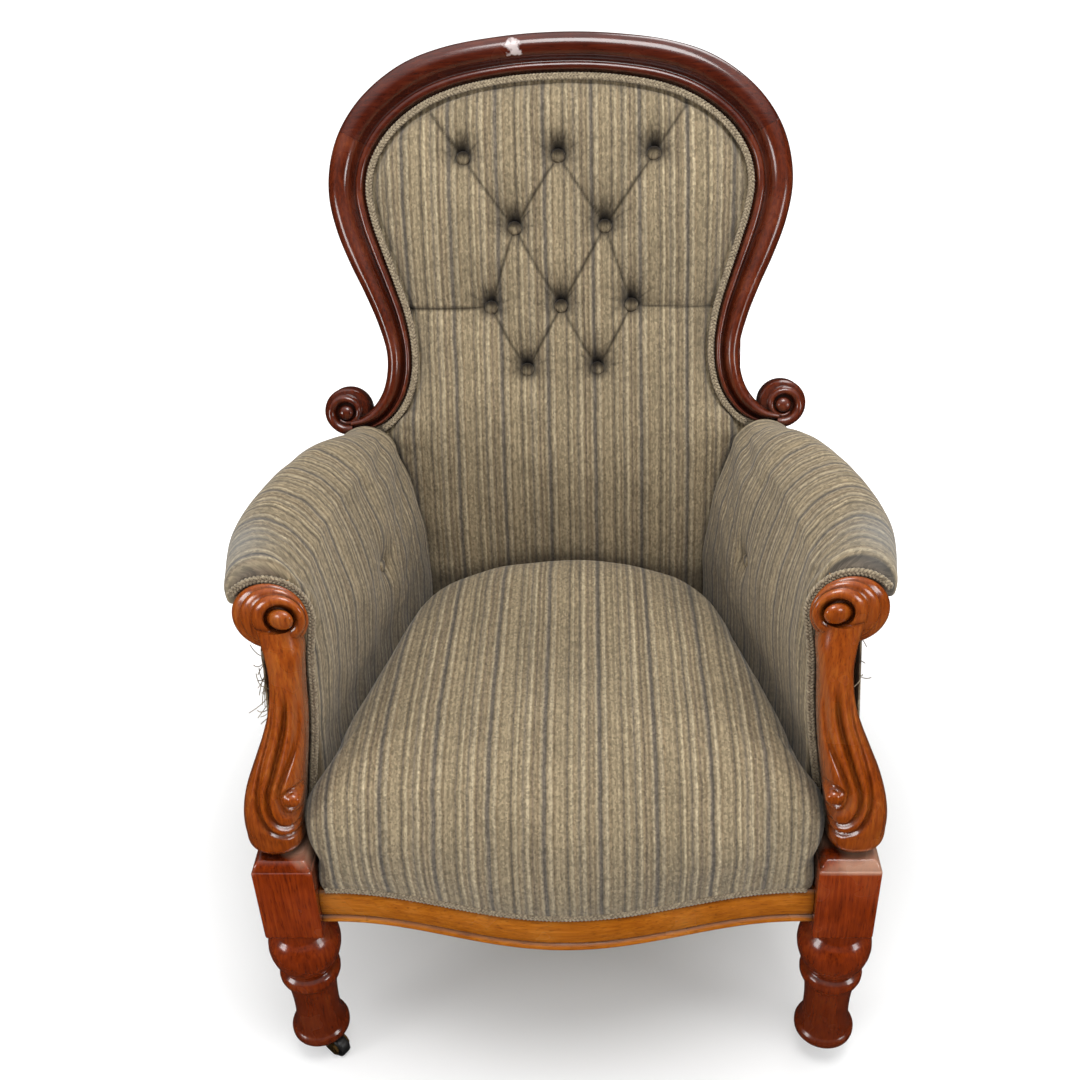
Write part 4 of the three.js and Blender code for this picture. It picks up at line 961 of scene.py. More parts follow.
# %% [markdown]
# ## Stuffed pads
# Seat, back and arms are horsehair under tweed. Each pad is drawn out over the space its solid holds,
# then Blender's cloth lets it swell a little with its tacked edges and buttoned points held, as stuffing
# does. Pleats and dimples are pressed in afterwards, when the mesh has been divided once more.

# %% Stuffing and settling
def settled(piece, held, cap_mm, pressure=4.0, frames=12):
    """Lets the stuffing swell under its cover; held points stay, and no point moves more than the cap."""
    before = points_of(piece)
    tacked = piece.vertex_groups.new(name="tacked")
    tacked.add([int(i) for i in np.flatnonzero(held)], 1.0, "REPLACE")
    cover = piece.modifiers.new("cover", "CLOTH")
    cover.settings.vertex_group_mass = "tacked"
    cover.settings.use_pressure = True
    cover.settings.uniform_pressure_force = pressure
    cover.settings.effector_weights.gravity = 0
    cover.settings.quality = 4
    cover.collision_settings.use_collision = False
    cover.point_cache.frame_start = 1
    cover.point_cache.frame_end = frames
    for number in range(1, frames + 1):
        bpy.context.scene.frame_set(number)
    swollen = piece.evaluated_get(bpy.context.evaluated_depsgraph_get())
    moved = points_of(swollen) - before
    length = np.linalg.norm(moved, axis=1)[:, None]
    print(piece.name, "swelled by up to", round(1000 * float(length.max()), 1), "mm before the cap")
    moved *= np.minimum(1, cap_mm / 1000 / np.maximum(length, 1e-9))
    piece.modifiers.remove(cover)
    piece.vertex_groups.remove(tacked)
    bpy.context.scene.frame_set(1)
    set_points(piece, before + moved)
    return piece


def divided(piece):
    """One more level of smooth faces; the many-sided end faces are taken off and put back after it."""
    only(piece)
    bpy.ops.object.mode_set(mode="EDIT")
    bpy.ops.mesh.select_mode(type="FACE")
    bpy.ops.mesh.select_all(action="DESELECT")
    bpy.ops.mesh.select_face_by_sides(number=4, type="GREATER")
    bpy.ops.mesh.delete(type="ONLY_FACE")
    bpy.ops.object.mode_set(mode="OBJECT")
    finer = piece.modifiers.new("finer", "SUBSURF")
    finer.levels = finer.render_levels = 1
    bpy.ops.object.modifier_apply(modifier=finer.name)
    bpy.ops.object.mode_set(mode="EDIT")
    bpy.ops.mesh.select_mode(type="VERT")
    bpy.ops.mesh.select_all(action="SELECT")
    bpy.ops.mesh.fill_holes(sides=0)
    bpy.ops.object.mode_set(mode="OBJECT")
    return faced_out(piece)


def lumps(points, size_mm, seed):
    """Uneven old stuffing: a slow wave over the points, from -1 to 1."""
    waves = np.random.default_rng(seed).normal(size=(5, 3))
    phases = np.random.default_rng(seed + 1).uniform(0, 6.28, 5)
    return np.sin(points @ waves.T * (4 / size_mm) + phases).mean(axis=1)


# %% [markdown]
# ### Arms
# A stuffed arm rolls over its rail from the outside, across the top and down the inside to the seat, and
# its rear end dips under the scroll of the back. The stripes follow it round, so the map counts along the
# arm for the stripe and round it for the thread.

# %% Arm outlines
# At six equal steps from the front to the back
ARM_OUTER = [327, 338, 331, 317, 299, 285]
ARM_INNER = [252, 242, 226, 209, 190, 172]
ARM_TOP = [650, 655, 650, 638, 626, 611]
ARM_ROLL = [38, 42, 42, 41, 40, 39]
ARM_PAD, ARM_LONG, SEAT_CROWN = 24, 380, 452
ARM_LOW, ARM_STOP = RAIL_TOP + 2, 18
ARM_RAIL_HALF, RAIL_INSET_FRONT, RAIL_INSET_REAR = 15.3, 14, 4.7
ARM_BUTTON_T, ARM_BUTTON_Z = 0.62, 500
FRONT_ROUND, REAR_DIP = 11, 19
# Heights where the inside face starts to lean, and where the hidden side bends towards the rail
LEAN_Z, KNEE_Z, EASE_Z = SEAT_CROWN - 20, 440, 530
FACE_HOLLOW, FACE_HOLLOW_MIDDLE = 5, 9
RAIL_RISE, RAIL_DROP, COVER_LEAST, LIP = 16, 33, 6, 1.6


def arm_roll(t):
    """Middle and radius of the roll, and the middle of the rail inside it."""
    radius = along_profile(ARM_ROLL, t)
    x = along_profile(ARM_OUTER, t) - radius
    rail_inset = RAIL_INSET_FRONT + (RAIL_INSET_REAR - RAIL_INSET_FRONT) * t
    return x, along_profile(ARM_TOP, t) - radius, radius, x - rail_inset


def roll_end(t):
    """The angle at which the roll's cover is tacked under the arm."""
    return math.radians(-20 - 35 * float(soft_step(t, 0, 0.3)))


def arm_front(z):
    return support_back(z) + FIT


def arm_end(z):
    return back_y(z) - ARM_STOP


def arm_y(z, t):
    return arm_front(z) + (arm_end(z) - arm_front(z)) * t


def arm_share(y, z):
    """How far along the arm a point lies, from 0 at the front to 1."""
    return (y - arm_front(z)) / (arm_end(z) - arm_front(z))


def arm_face(z, t):
    x, mid, radius, _ = arm_roll(t)
    rise = np.clip((z - LEAN_Z) / (mid - LEAN_Z), 0, 1)
    inner = along_profile(ARM_INNER, t)
    hollow = FACE_HOLLOW + FACE_HOLLOW_MIDDLE * np.sin(math.pi * t)
    return inner + (x - radius - inner) * rise - hollow * np.sin(math.pi * rise)


def arm_ring(t):
    """One section of the arm, with the way round it in millimetres."""
    x, mid, r, rail_x = (float(v) for v in arm_roll(t))
    gone = FRONT_ROUND - min(FRONT_ROUND, t * ARM_LONG)
    inset = FRONT_ROUND - math.sqrt(FRONT_ROUND**2 - gone**2)
    end = roll_end(t)
    angles = np.linspace(end, math.radians(178), 40)
    arc = np.column_stack([x + (r - inset) * np.cos(angles), mid + (r - inset) * np.sin(angles)])
    levels = np.concatenate([np.linspace(mid - 8, 430, 30), np.linspace(420, ARM_LOW, 8)])
    face = np.column_stack([arm_face(levels, np.full(len(levels), t)) + inset, levels])
    shown = np.vstack([arc, face])
    shown[:, 1] -= REAR_DIP * soft_step(t, 0.62, 1) * soft_step(shown[:, 1], mid - 60, mid + r)
    # The hidden side goes round the arm rail
    inner = float(along_profile(ARM_INNER, t)) + ARM_PAD
    rail_in, rail_out = rail_x - ARM_RAIL_HALF, rail_x + ARM_RAIL_HALF
    ease = min(float(arm_face(EASE_Z, t)) + ARM_PAD, rail_in)
    rail_top = mid + RAIL_RISE - RAIL_DROP * float(soft_step(t, 0.5, 1)) + FIT
    top = min(rail_top, mid + r - inset - COVER_LEAST)
    lip = mid + (r - inset) * math.sin(end) + LIP
    hidden = [
        (inner, ARM_LOW), (inner, KNEE_Z), (ease, EASE_Z), (rail_in, top), (rail_out, top), (rail_out, lip),
    ]
    ring = np.vstack([shown, hidden])
    return np.column_stack([ring[:, 0], arm_y(ring[:, 1], t), ring[:, 1]]), lengths_along(ring)


# %% Stuffed arms
STRIPE_START = {"right": 150, "left": 140}
LUMP_SEED = {"right": 3, "left": 8}
FACE_LONG, DIMPLE_DEPTH, DIMPLE_REACH = 345, 13, 19
stations = np.concatenate([np.linspace(0, 0.028, 7), np.linspace(0.038, 1, 76)])
arm_rings, arm_ways = zip(*[arm_ring(t) for t in stations])
arm_rings = np.array(arm_rings)
ring_size = arm_rings.shape[1]
arm_t = np.repeat(stations, ring_size)
arm_way = np.concatenate(arm_ways)
arm_index = np.tile(np.arange(ring_size), len(stations))
arm_held = (arm_index >= 70) | (arm_index == 0) | (arm_t <= 0.001) | (arm_t >= 0.999)
arm_mark = 0.42 * bell(arm_t - 0.1, 0.09) * bell(arm_index - 16, 9.0)
for word, side in SIDES:
    arm = drawn_out("arm_stuffed_" + word, arm_rings * (side, 1, 1))
    lay_cloth(arm, arm_t * ARM_LONG + STRIPE_START[word], arm_way)
    write_value(arm, "stain", arm_mark)
    settled(arm, arm_held, cap_mm=5)
    divided(arm)
    points = points_of(arm)
    mm = in_mm(points)
    t = arm_share(mm[:, 1], mm[:, 2])
    inside = np.abs(mm[:, 0]) < arm_roll(np.clip(t, 0, 1))[3] - 8
    # The button pulls a dimple; shade is painted round it and low on the inside above the seat
    away = np.hypot((t - ARM_BUTTON_T) * FACE_LONG, mm[:, 2] - ARM_BUTTON_Z)
    pull = DIMPLE_DEPTH * bell(away, DIMPLE_REACH, 1.3) * inside
    shade_share = np.maximum(0.6 * bell(away, 9), 0.32 * soft_step(mm[:, 2], 510, 430))
    write_value(arm, "painted_shade", shade_share * inside)
    swell = 1.6 * lumps(mm, 60, LUMP_SEED[word])
    points[:, 0] += side * (pull - swell * inside) / 1000
    points[:, 2] += 0.8 * lumps(mm, 45, 5) / 1000 * (~inside)
    set_points(arm, points)
    dressed(arm, tweed, ["arm_pad_" + word], crease=60)

# %% [markdown]
# ### Inside back
# The spoon's pad is domed and drawn in by ten covered buttons, in rows of three, two, three and two. The
# cloth is folded into thin pleats from button to button, and from the outer ones to the edge.

# %% The spoon's outline
GIMP_RADIUS = 4
PAD_BACK, PAD_SWELL, PAD_RIM, BUTTON_DEPTH = 20, 30, 12, 24
FOOT_SWELL, DOME_EDGE = 11, 62
BEHIND_ARM, FOOT_BLEND = 20, 22
BUTTON_ROWS = [(301, (-113, 0, 113)), (219, (-54, 54)), (126, (-85, 0, 85)), (50, (-43, 43))]
buttons = np.array([(x, w) for w, xs in BUTTON_ROWS for x in xs], float)
edge_x, edge_w = hoop_edge(np.linspace(0.5, 0.97, 400), 0.5, 0.75)
FOOT_W, FOOT_X = float(edge_w[-1]), float(edge_x[-1])
PAD_TOP = float(hoop_edge(0.5, 0.5, FIT)[1][0])
PAD_LOW = (RAIL_TOP + FIT - BACK_Z) / math.cos(BACK_RAKE)


def pad_half(w):
    """Half the pad's width at w up the slope."""
    below = arm_face(BACK_Z + w * math.cos(BACK_RAKE), np.ones_like(w)) + BEHIND_ARM
    below = below + (FOOT_X - below) * soft_step(w, FOOT_W - FOOT_BLEND, FOOT_W)
    order = np.argsort(edge_w)
    return np.where(w < FOOT_W, below, np.interp(w, edge_w[order], edge_x[order]))


def edge_distance(x, w):
    away = np.full(x.shape, 1e9)
    for ex, ew in zip(edge_x[::2], edge_w[::2]):
        away = np.minimum(away, np.hypot(ex - np.abs(x), ew - w))
    return np.where(w < 0, pad_half(w) - np.abs(x), away)


def pad_swell(x, w):
    """How far the pad stands in front of the frame's plane, before it is buttoned."""
    inside = np.maximum(0, edge_distance(x, w) - PAD_RIM)
    swell = FOOT_SWELL + (PAD_SWELL - FOOT_SWELL) * soft_step(w, -260, -120)
    return -1 + (swell + 1) * np.sqrt(1 - (1 - np.minimum(1, inside / DOME_EDGE)) ** 2)


# %% Buttoned pad
HIDDEN_ROWS, FRONT_COLUMNS, REAR_COLUMNS = 7, 129, 9
rows = np.concatenate([
    np.linspace(PAD_LOW, -190, HIDDEN_ROWS),
    np.linspace(-180, PAD_TOP - 60, 126),
    PAD_TOP - 57 * np.linspace(1, 0.23, 26) ** 2,
])
across = np.linspace(-1, 1, FRONT_COLUMNS)
across = np.sign(across) * (1 - (1 - np.abs(across)) ** 1.15)
front_w, shares = np.meshgrid(rows, across, indexing="ij")
front_x = shares * pad_half(rows)[:, None]
front_n = pad_swell(front_x, front_w)


def pit_distance(x, w, button):
    """Distance from a button, stretched so that the hollow reaches up and stops short below."""
    up = w - button[1]
    return np.hypot(x - button[0], np.where(up > 0, 0.72 * up, 1.25 * up))


near = np.min([pit_distance(front_x, front_w, button) for button in buttons], axis=0)
front_n -= BUTTON_DEPTH * (0.45 * bell(near, 34) + 0.75 * bell(near, 13.5))
rear_x = np.linspace(1, -1, REAR_COLUMNS) * pad_half(rows)[:, None]
rear_w = np.repeat(rows[:, None], REAR_COLUMNS, 1)
front = back_point(front_x, front_w, front_n)
rear = back_point(rear_x, rear_w, np.full(rear_x.shape, -PAD_BACK))
pad = drawn_out("back_buttoned", np.concatenate([front, rear], axis=1))
lay_cloth(pad, np.concatenate([front_x, rear_x], 1), np.concatenate([front_w, rear_w], 1))
tacked_front = (near < 6) | (edge_distance(front_x, front_w) < PAD_RIM)
held = np.concatenate([tacked_front, np.ones(rear_x.shape, bool)], 1)
held[:HIDDEN_ROWS] = held[-1:] = True
settled(pad, held.ravel(), cap_mm=6, pressure=6)
divided(pad)

# %% Pleats and pulled folds
PLEAT_REACH = 125
TOP_PLEAT_END, SIDE_PLEAT_END, SIDE_PLEAT_SKEW = (149, 352), (196, 124), 3
TOP_MIDDLE, WAIST_MIDDLE = 1, 6
SEAT_CREASE = 404
pleats = [
    (a, b) for i, a in enumerate(buttons) for b in buttons[i + 1 :]
    if a[1] != b[1] and np.hypot(*(a - b)) < PLEAT_REACH
]
for side in (-1, 1):
    top_x, top_w = TOP_PLEAT_END
    side_x, side_w = SIDE_PLEAT_END
    pleats.append((buttons[TOP_MIDDLE + side], np.array([side * top_x, top_w])))
    side_w = side_w - SIDE_PLEAT_SKEW * side
    pleats.append((buttons[WAIST_MIDDLE + side], np.array([side * side_x, side_w])))


def seat_hump(x, y):
    """How much the rear of the seat swells in its middle and drops towards the arms."""
    return (18 * bell(x, 100) - 6 * soft_step(np.abs(x), 70, 130)) * soft_step(y, 180, 390)


def back_coordinates(points):
    """x, w and n of points in the frame's metres; n is good near the upper, flat part of the back."""
    mm = in_mm(points)
    y, z = mm[:, 1] - BACK_Y, mm[:, 2] - BACK_Z
    w = y * math.sin(BACK_RAKE) + z * math.cos(BACK_RAKE)
    return mm[:, 0], w, -y * math.cos(BACK_RAKE) + z * math.sin(BACK_RAKE)


PLEAT_SHARP, PLEAT_SOFT, PLEAT_WIDE, PLEAT_LINE = 2.4, 7, 16, 1.9
STAR_RADIUS, RAY_RADIUS, FOLD_REACH = 9, 18, 12


def pleat_folds(x, w):
    """Depth of the pleats, which are tucked sharply on one side, and the painted shade along them."""
    sunk, dark = np.zeros(len(x)), np.zeros(len(x))
    for a, b in pleats:
        away, _ = line_distance(x, w, [a, b])
        beside = (x - a[0]) * (b[1] - a[1]) - (w - a[1]) * (b[0] - a[0])
        tuck = np.where(beside > 0, PLEAT_SHARP, PLEAT_SOFT)
        sunk = np.maximum(sunk, 3.4 * bell(away, tuck) + 2.6 * bell(away, PLEAT_WIDE))
        dark = np.maximum(dark, 0.8 * bell(away, PLEAT_LINE))
    return sunk, dark


def button_folds(x, w):
    """Small folds that the buttons pull, in a star round each, and painted shade in their pits and rays."""
    sunk, dark = np.zeros(len(x)), np.zeros(len(x))
    for i, (bx, bw) in enumerate(buttons):
        r = np.hypot(x - bx, w - bw)
        angle = np.arctan2(w - bw, x - bx)
        star = np.abs(np.sin(3.5 * angle + 0.7 * i)) * (0.6 + 0.4 * np.sin(angle))
        sunk += 2.4 * star * bell(r - STAR_RADIUS, FOLD_REACH)
        pit = np.hypot(x - bx, np.where(w > bw, 0.55, 1.3) * (w - bw))
        dark = np.maximum(dark, 0.9 * bell(pit, 12, 3) + 0.18 * bell(pit, 22))
        rays = bell(np.sin(4.5 * angle + 0.9 * i), 0.27) * bell(r - RAY_RADIUS, FOLD_REACH)
        dark = np.maximum(dark, 0.9 * rays * (0.45 + 0.55 * np.sin(angle)))
    return sunk, dark


points = points_of(pad)
x, w, n = back_coordinates(points)
shown = n > -8
pleat_depth, pleat_shade = pleat_folds(x, w)
fold_depth, button_shade = button_folds(x, w)
above_seat = np.maximum(0, BACK_Z + w * math.cos(BACK_RAKE) - SEAT_CREASE - seat_hump(x, 400.0))
# Painted shade along the pleats and in the button pits, and a painted contact shadow just above the seat
shade_share = np.maximum(np.maximum(pleat_shade, button_shade), 0.6 * bell(above_seat, 14))
uneven = 1.2 * lumps(np.column_stack([x, w, 0 * x]), 55, 21)
push = (pleat_depth + fold_depth - uneven) * shown / 1000
points += np.outer(push, (0, math.cos(BACK_RAKE), -math.sin(BACK_RAKE)))
set_points(pad, points)
write_value(pad, "painted_shade", shade_share * shown)
dressed(pad, tweed, ["inside_back"], crease=70)

# %% Covered buttons
# Radius, and height above the cloth
BUTTON = [(1, 0), (6.8, 0), (8, 0.8), (8.3, 2.2), (7.9, 3.6), (6.7, 4.8), (4.9, 5.6), (2.8, 6), (1, 6.1)]
BUTTON_SIDES = 26
ARM_BUTTON_SUNK, ARM_BUTTON_FORWARD = 9, 0.22
for number, (bx, bw) in enumerate(buttons, 1):
    seat_n = float(pad_swell(np.array([bx]), np.array([bw]))[0]) - 1.2 * BUTTON_DEPTH + 0.5
    rings = round_rings([(r, n + seat_n) for r, n in BUTTON], BUTTON_SIDES, bx, bw, 1)
    button = drawn_out("button_covered_%d" % number, rings)
    flat = points_of(button) * 1000
    lay_cloth(button, flat[:, 0], flat[:, 2])
    rise = (flat[:, 2] - flat[:, 2].mean()) / 9
    # Painted shade: each button darker towards its top, as if in the shadow of its pit
    write_value(button, "painted_shade", 0.28 + 0.67 * soft_step(rise, -0.2, 0.7))
    dressed(button, tweed, ["back_button_%d" % number], crease=70)

facing = np.array([-1, -ARM_BUTTON_FORWARD, 0]) / math.hypot(1, ARM_BUTTON_FORWARD)
beside = np.array([-facing[1], facing[0], 0])
arm_button_x = float(arm_face(ARM_BUTTON_Z, ARM_BUTTON_T)) + ARM_BUTTON_SUNK
arm_button_middle = (arm_button_x, float(arm_y(ARM_BUTTON_Z, ARM_BUTTON_T)), ARM_BUTTON_Z)
arm_button_rings = np.array(turned(BUTTON, arm_button_middle, facing, beside, UP, BUTTON_SIDES))
for word, side in SIDES:
    button = drawn_out("arm_button_covered_" + word, arm_button_rings * (side, 1, 1))
    flat = points_of(button) * 1000
    lay_cloth(button, flat[:, 1], flat[:, 2])
    dressed(button, tweed, ["arm_button_" + word], crease=70)

# %% [markdown]
# ### Seat
# The seat is a high dome over nine springs. It swells over the leg blocks at the front and rises in the
# middle of its rear edge. Its stripes run from the back to the front and down over the swell to the
# rail. Inside it is hollow for the springs, and there the hessian shows.

# %% The seat's outline
SEAT_HALF, SPRING_ROOF, SEAT_WALL = 256, 345, 42
SEAT_MIDDLE = (0, 205)
SEAT_GAP, CORNER_GAP, BEHIND_RAIL = 1.2, 4, 8
SIDE_START, SIDE_END, SIDE_EASE = 24, 380, 200
BLOCK_SWELL, BLOCK_SWELL_MORE = 12, 11
# Share of the crown's height, inset, bulge over the rail, and how far the ring closes to the middle
SEAT_LEVELS = np.array([
    (0, 1, 5, 0), (0.06, 0, 8, 0), (0.176, 0, 12, 0), (0.41, 0, 13, 0), (0.6, 0, 10, 0), (0.72, 3, 5, 0),
    (0.8, 10, 0, 0.015), (0.85, 14, 0, 0.06), (0.9, 14, 0, 0.14), (0.945, 14, 0, 0.26),
    (0.98, 14, 0, 0.45), (1, 14, 0, 0.75), (1.003, 14, 0, 0.98),
])


def seat_side(y, z):
    t = np.clip(arm_share(y, z), 0, 1)
    return np.minimum(SEAT_HALF, along_profile(ARM_INNER, t)) - SEAT_GAP


def seat_outline(z, inset, bulge, shrink=0.0):
    """The seat's ring at one height: the front rail's line, the arms' faces and the back pad."""
    w = np.array([(z - BACK_Z) / math.cos(BACK_RAKE)])
    deep = float(back_y(z) - pad_swell(np.zeros(1), w)[0] * 1.07 - 0.9)
    front_x = np.linspace(-SEAT_HALF + CORNER_GAP, SEAT_HALF - CORNER_GAP, 91)
    front = np.column_stack([front_x, front_rail_y(front_x) + BEHIND_RAIL + inset - bulge])
    sides = np.linspace(SIDE_START, SIDE_END, 42)
    sides = sides + np.maximum(0, inset * (1 - sides / SIDE_EASE))
    right = np.column_stack([seat_side(sides, z) - inset, sides])
    end = float(seat_side(np.array([deep]), z)[0]) - inset
    back = np.column_stack([np.linspace(end, -end, 45), np.full(45, deep - 0.8 * inset)])
    ring = np.vstack([front, right, back, (right * (-1, 1))[::-1]])
    for _ in range(4 + int(30 * soft_step(z, RAIL_TOP + 5, RAIL_TOP + 70))):
        ring = 0.5 * ring + 0.25 * np.roll(ring, 1, 0) + 0.25 * np.roll(ring, -1, 0)
    # Above the blocks the stuffing swells out past them
    wider = (BLOCK_SWELL + BLOCK_SWELL_MORE * soft_step(z, 312, 350)) * soft_step(z, 425, 365)
    wider = wider * soft_step(np.abs(ring[:, 0]), 190, 243) * soft_step(ring[:, 1], 105, 50)
    ring[:, 0] += np.sign(ring[:, 0]) * wider
    ring = ring + (np.array(SEAT_MIDDLE) - ring) * shrink
    return level_ring(ring[:, 0], ring[:, 1], z)


# %% Domed seat
SEAT_LOW = RAIL_TOP + FIT
HOLLOW_RINGS = 3
steps = np.linspace(0, len(SEAT_LEVELS) - 1, 74)
levels = through(np.arange(len(SEAT_LEVELS)), SEAT_LEVELS, steps)
seat_rings = [
    seat_outline(SPRING_ROOF, SEAT_WALL, 0, 0.95),
    seat_outline(SPRING_ROOF, SEAT_WALL, 0),
    seat_outline(SEAT_LOW, SEAT_WALL, 0),
]
for share, inset, bulge, shrink in levels:
    seat_rings.append(seat_outline(SEAT_LOW + (SEAT_CROWN - SEAT_LOW) * share, inset, bulge, shrink))
seat = drawn_out("seat_domed", seat_rings)
mm = in_mm(points_of(seat))
lay_cloth(seat, mm[:, 0], mm[:, 1] + mm[:, 2])
ring_size = len(seat_rings[0])
ring_number = np.arange(len(mm)) // ring_size
settled(seat, ring_number < 2 * HOLLOW_RINGS, cap_mm=6)
under = [all(i < HOLLOW_RINGS * ring_size for i in face.vertices) for face in seat.data.polygons]
dressed(seat, tweed, ["seat_pad"], crease=60)
seat.data.materials.append(jute)
seat.data.polygons.foreach_set("material_index", np.array(under, int))
divided(seat)

# %% Sag and lumps
SAG, SAG_X, SAG_Y = 3.5, -25, 240
points = points_of(seat)
mm = in_mm(points)
sag = SAG * bell(mm[:, 0] - SAG_X, 130) * bell(mm[:, 1] - SAG_Y, 110) * (mm[:, 2] > 400)
points[:, 2] -= (sag - 1.6 * lumps(mm, 70, 31) * (mm[:, 2] > 360)) / 1000
points[:, 2] += seat_hump(mm[:, 0], mm[:, 1]) * soft_step(mm[:, 2], 350, 415) / 1000
points[:, 1] -= 1.4 * lumps(mm, 55, 33) * ((mm[:, 1] < 60) & (mm[:, 2] > 295)) / 1000
set_points(seat, points)
only(seat)
bpy.ops.object.shade_smooth_by_angle(angle=math.radians(70))
print("seat sags by mm:", round(float(sag.max()), 1))

# %% [markdown]
# ## Outside panels
# The outsides of the arms and the back are plain tweed on hessian, tacked to the frame and hollow behind,
# so the cloth sinks a little between the rails. A grid takes the panel's outline, and Solidify gives it
# its thickness.

# %% Panels as stretched cloth
FRAME_BACK_FLAT = FRAME_BACK / math.cos(BACK_RAKE)
PANEL_LOW, ARM_CLOSE, CLOTH_THICK = RAIL_BOTTOM + 2, BACK_Z - 39.5, 1.8


def outside_y(z):
    deep = soft_step(z, POST_TOP, POST_TOP + 110)
    return back_y(z) + (FRAME_BACK_FLAT + POST_DEPTH + 1) * (1 - deep) + (FRAME_BACK_FLAT + 0.6) * deep


def cloth_panel(name, points, across, along, node):
    """A grid set on rows of points in millimetres, and given thickness."""
    count_v, count_u = points.shape[:2]
    bpy.ops.object.select_all(action="DESELECT")
    bpy.ops.mesh.primitive_grid_add(x_subdivisions=count_u - 1, y_subdivisions=count_v - 1)
    panel = bpy.context.object
    panel.name = panel.data.name = name
    set_points(panel, to_frame(points))
    lay_cloth(panel, across, along)
    thick = panel.modifiers.new("thickness", "SOLIDIFY")
    thick.thickness = CLOTH_THICK / 1000
    thick.offset = 0
    only(panel)
    bpy.ops.object.modifier_apply(modifier=thick.name)
    faced_out(panel)
    dressed(panel, tweed, [node], crease=60)
    return panel


# %% Outside arms
front_at_button = arm_front(ARM_BUTTON_Z)
ARM_SHARE = float((arm_end(ARM_BUTTON_Z) - front_at_button) / (outside_y(ARM_BUTTON_Z) - front_at_button))
FLAP_START = ARM_SHARE + 0.06
HEM, FLAP, HEM_ROWS = 3.0, 36.0, 5
RAIL_ROUND, PANEL_HOLLOW = 14, 5


def arm_panel_point(t, rise):
    """A point of the right panel: t from front to back, rise from the rail to the roll."""
    on_arm = min(1.0, t / ARM_SHARE)
    x, mid, r, rail_x = (float(v) for v in arm_roll(on_arm))
    top = ARM_CLOSE if t > FLAP_START else mid + r * math.sin(roll_end(on_arm)) - 1.2
    on_rail = min(1.0, t * (outside_y(RAIL_TOP) - BLOCK) / (post_front(RAIL_TOP) - BLOCK))
    rail_out = (LEG_X + RAIL_THICK / 2) * (1 - on_rail) + (POST_X + POST_WIDTH / 2) * on_rail
    z = PANEL_LOW + (top - PANEL_LOW) * rise
    upright = min(top, mid - 0.82 * r) - RAIL_TOP - RAIL_ROUND
    lean = min(1.0, max(0.0, (z - RAIL_TOP - RAIL_ROUND) / upright))
    out = rail_out + (rail_x + 17.5 - rail_out) * lean + 2.1
    hollow = PANEL_HOLLOW * math.sin(math.pi * min(1, t / 0.97)) * math.sin(math.pi * lean)
    return out - hollow, float(arm_front(z) + (outside_y(z) - 0.9 - arm_front(z)) * t), z


panel_t = np.concatenate([
    np.linspace(0, ARM_SHARE, 56),
    [ARM_SHARE + 0.03, ARM_SHARE + 0.055, ARM_SHARE + 0.065],
    np.linspace(ARM_SHARE + 0.075, 1, 12),
])
panel_rise = np.linspace(0, 1, 44)
arm_panel = np.array([[arm_panel_point(t, rise) for t in panel_t] for rise in panel_rise])
# The top edge is turned in: a narrow hem below the roll, and a flap over the frame behind it
top_edge = arm_panel[-1]
turned_in = np.outer(np.where(panel_t > FLAP_START, FLAP, HEM), (1, 0, 0))
hem = np.array([top_edge - share * turned_in for share in np.linspace(0.2, 1, HEM_ROWS)])
arm_along = np.concatenate([arm_panel[..., 2], hem[..., 2] + np.abs(hem[..., 0] - top_edge[:, 0])])
arm_panel = np.concatenate([arm_panel, hem])
for word, side in SIDES:
    cloth_panel(
        "arm_outside_" + word, arm_panel * (side, 1, 1), arm_panel[..., 1], arm_along,
        "outside_arm_" + word,
    )

# %% Outside back
SHOULDER_DROP, BACK_HOLLOW, HOOP_INSET, POST_COVER = 69, 4, 4, 3
shoulder = ARM_TOP[-1] - SHOULDER_DROP
low_levels = np.linspace(PANEL_LOW, shoulder, 26)
rail_x_back = float(arm_roll(1.0)[3])
post_out = POST_X + POST_WIDTH / 2
rise = (low_levels - PANEL_LOW) / (shoulder - PANEL_LOW)
low_half = post_out + (rail_x_back + 15 - post_out) * rise + POST_COVER
high_x, high_w = hoop_edge(np.linspace(0.915, 0.505, 60), -0.5, HOOP_INSET)
high_levels = BACK_Z + high_w * math.cos(BACK_RAKE) - FRAME_BACK * math.sin(BACK_RAKE)
levels = np.concatenate([low_levels, [ARM_CLOSE, ARM_CLOSE + 8, ARM_CLOSE + 20, BACK_Z], high_levels])
halves = np.concatenate([low_half, [rail_x_back + 13, 236, 224, 221.5], high_x])
sideways = np.linspace(-1, 1, 61)
hollow = BACK_HOLLOW * (1 - sideways**2) * np.sin(math.pi * np.clip((levels - 290) / 640, 0, 1))[:, None]
back_x = halves[:, None] * sideways
back_z = np.repeat(levels[:, None], len(sideways), 1)
back_panel = np.stack([back_x, (outside_y(levels) + 1.5)[:, None] - hollow, back_z], -1)
cloth_panel("back_outside", back_panel, back_x, back_z, "outside_back")

# %% [markdown]
# ## Gimp
# A narrow plaited braid hides the tacks along every show edge. It is a true plait of three strands: each
# strand swings from side to side a third of a turn after the last, and dips twice as often as it swings.

# %% Plaited braid
PLAIT_PITCH, PLAIT_SWING, PLAIT_DIP, STRAND, FRAYED = 12.0, 2.7, 1.2, 1.75, 0.45


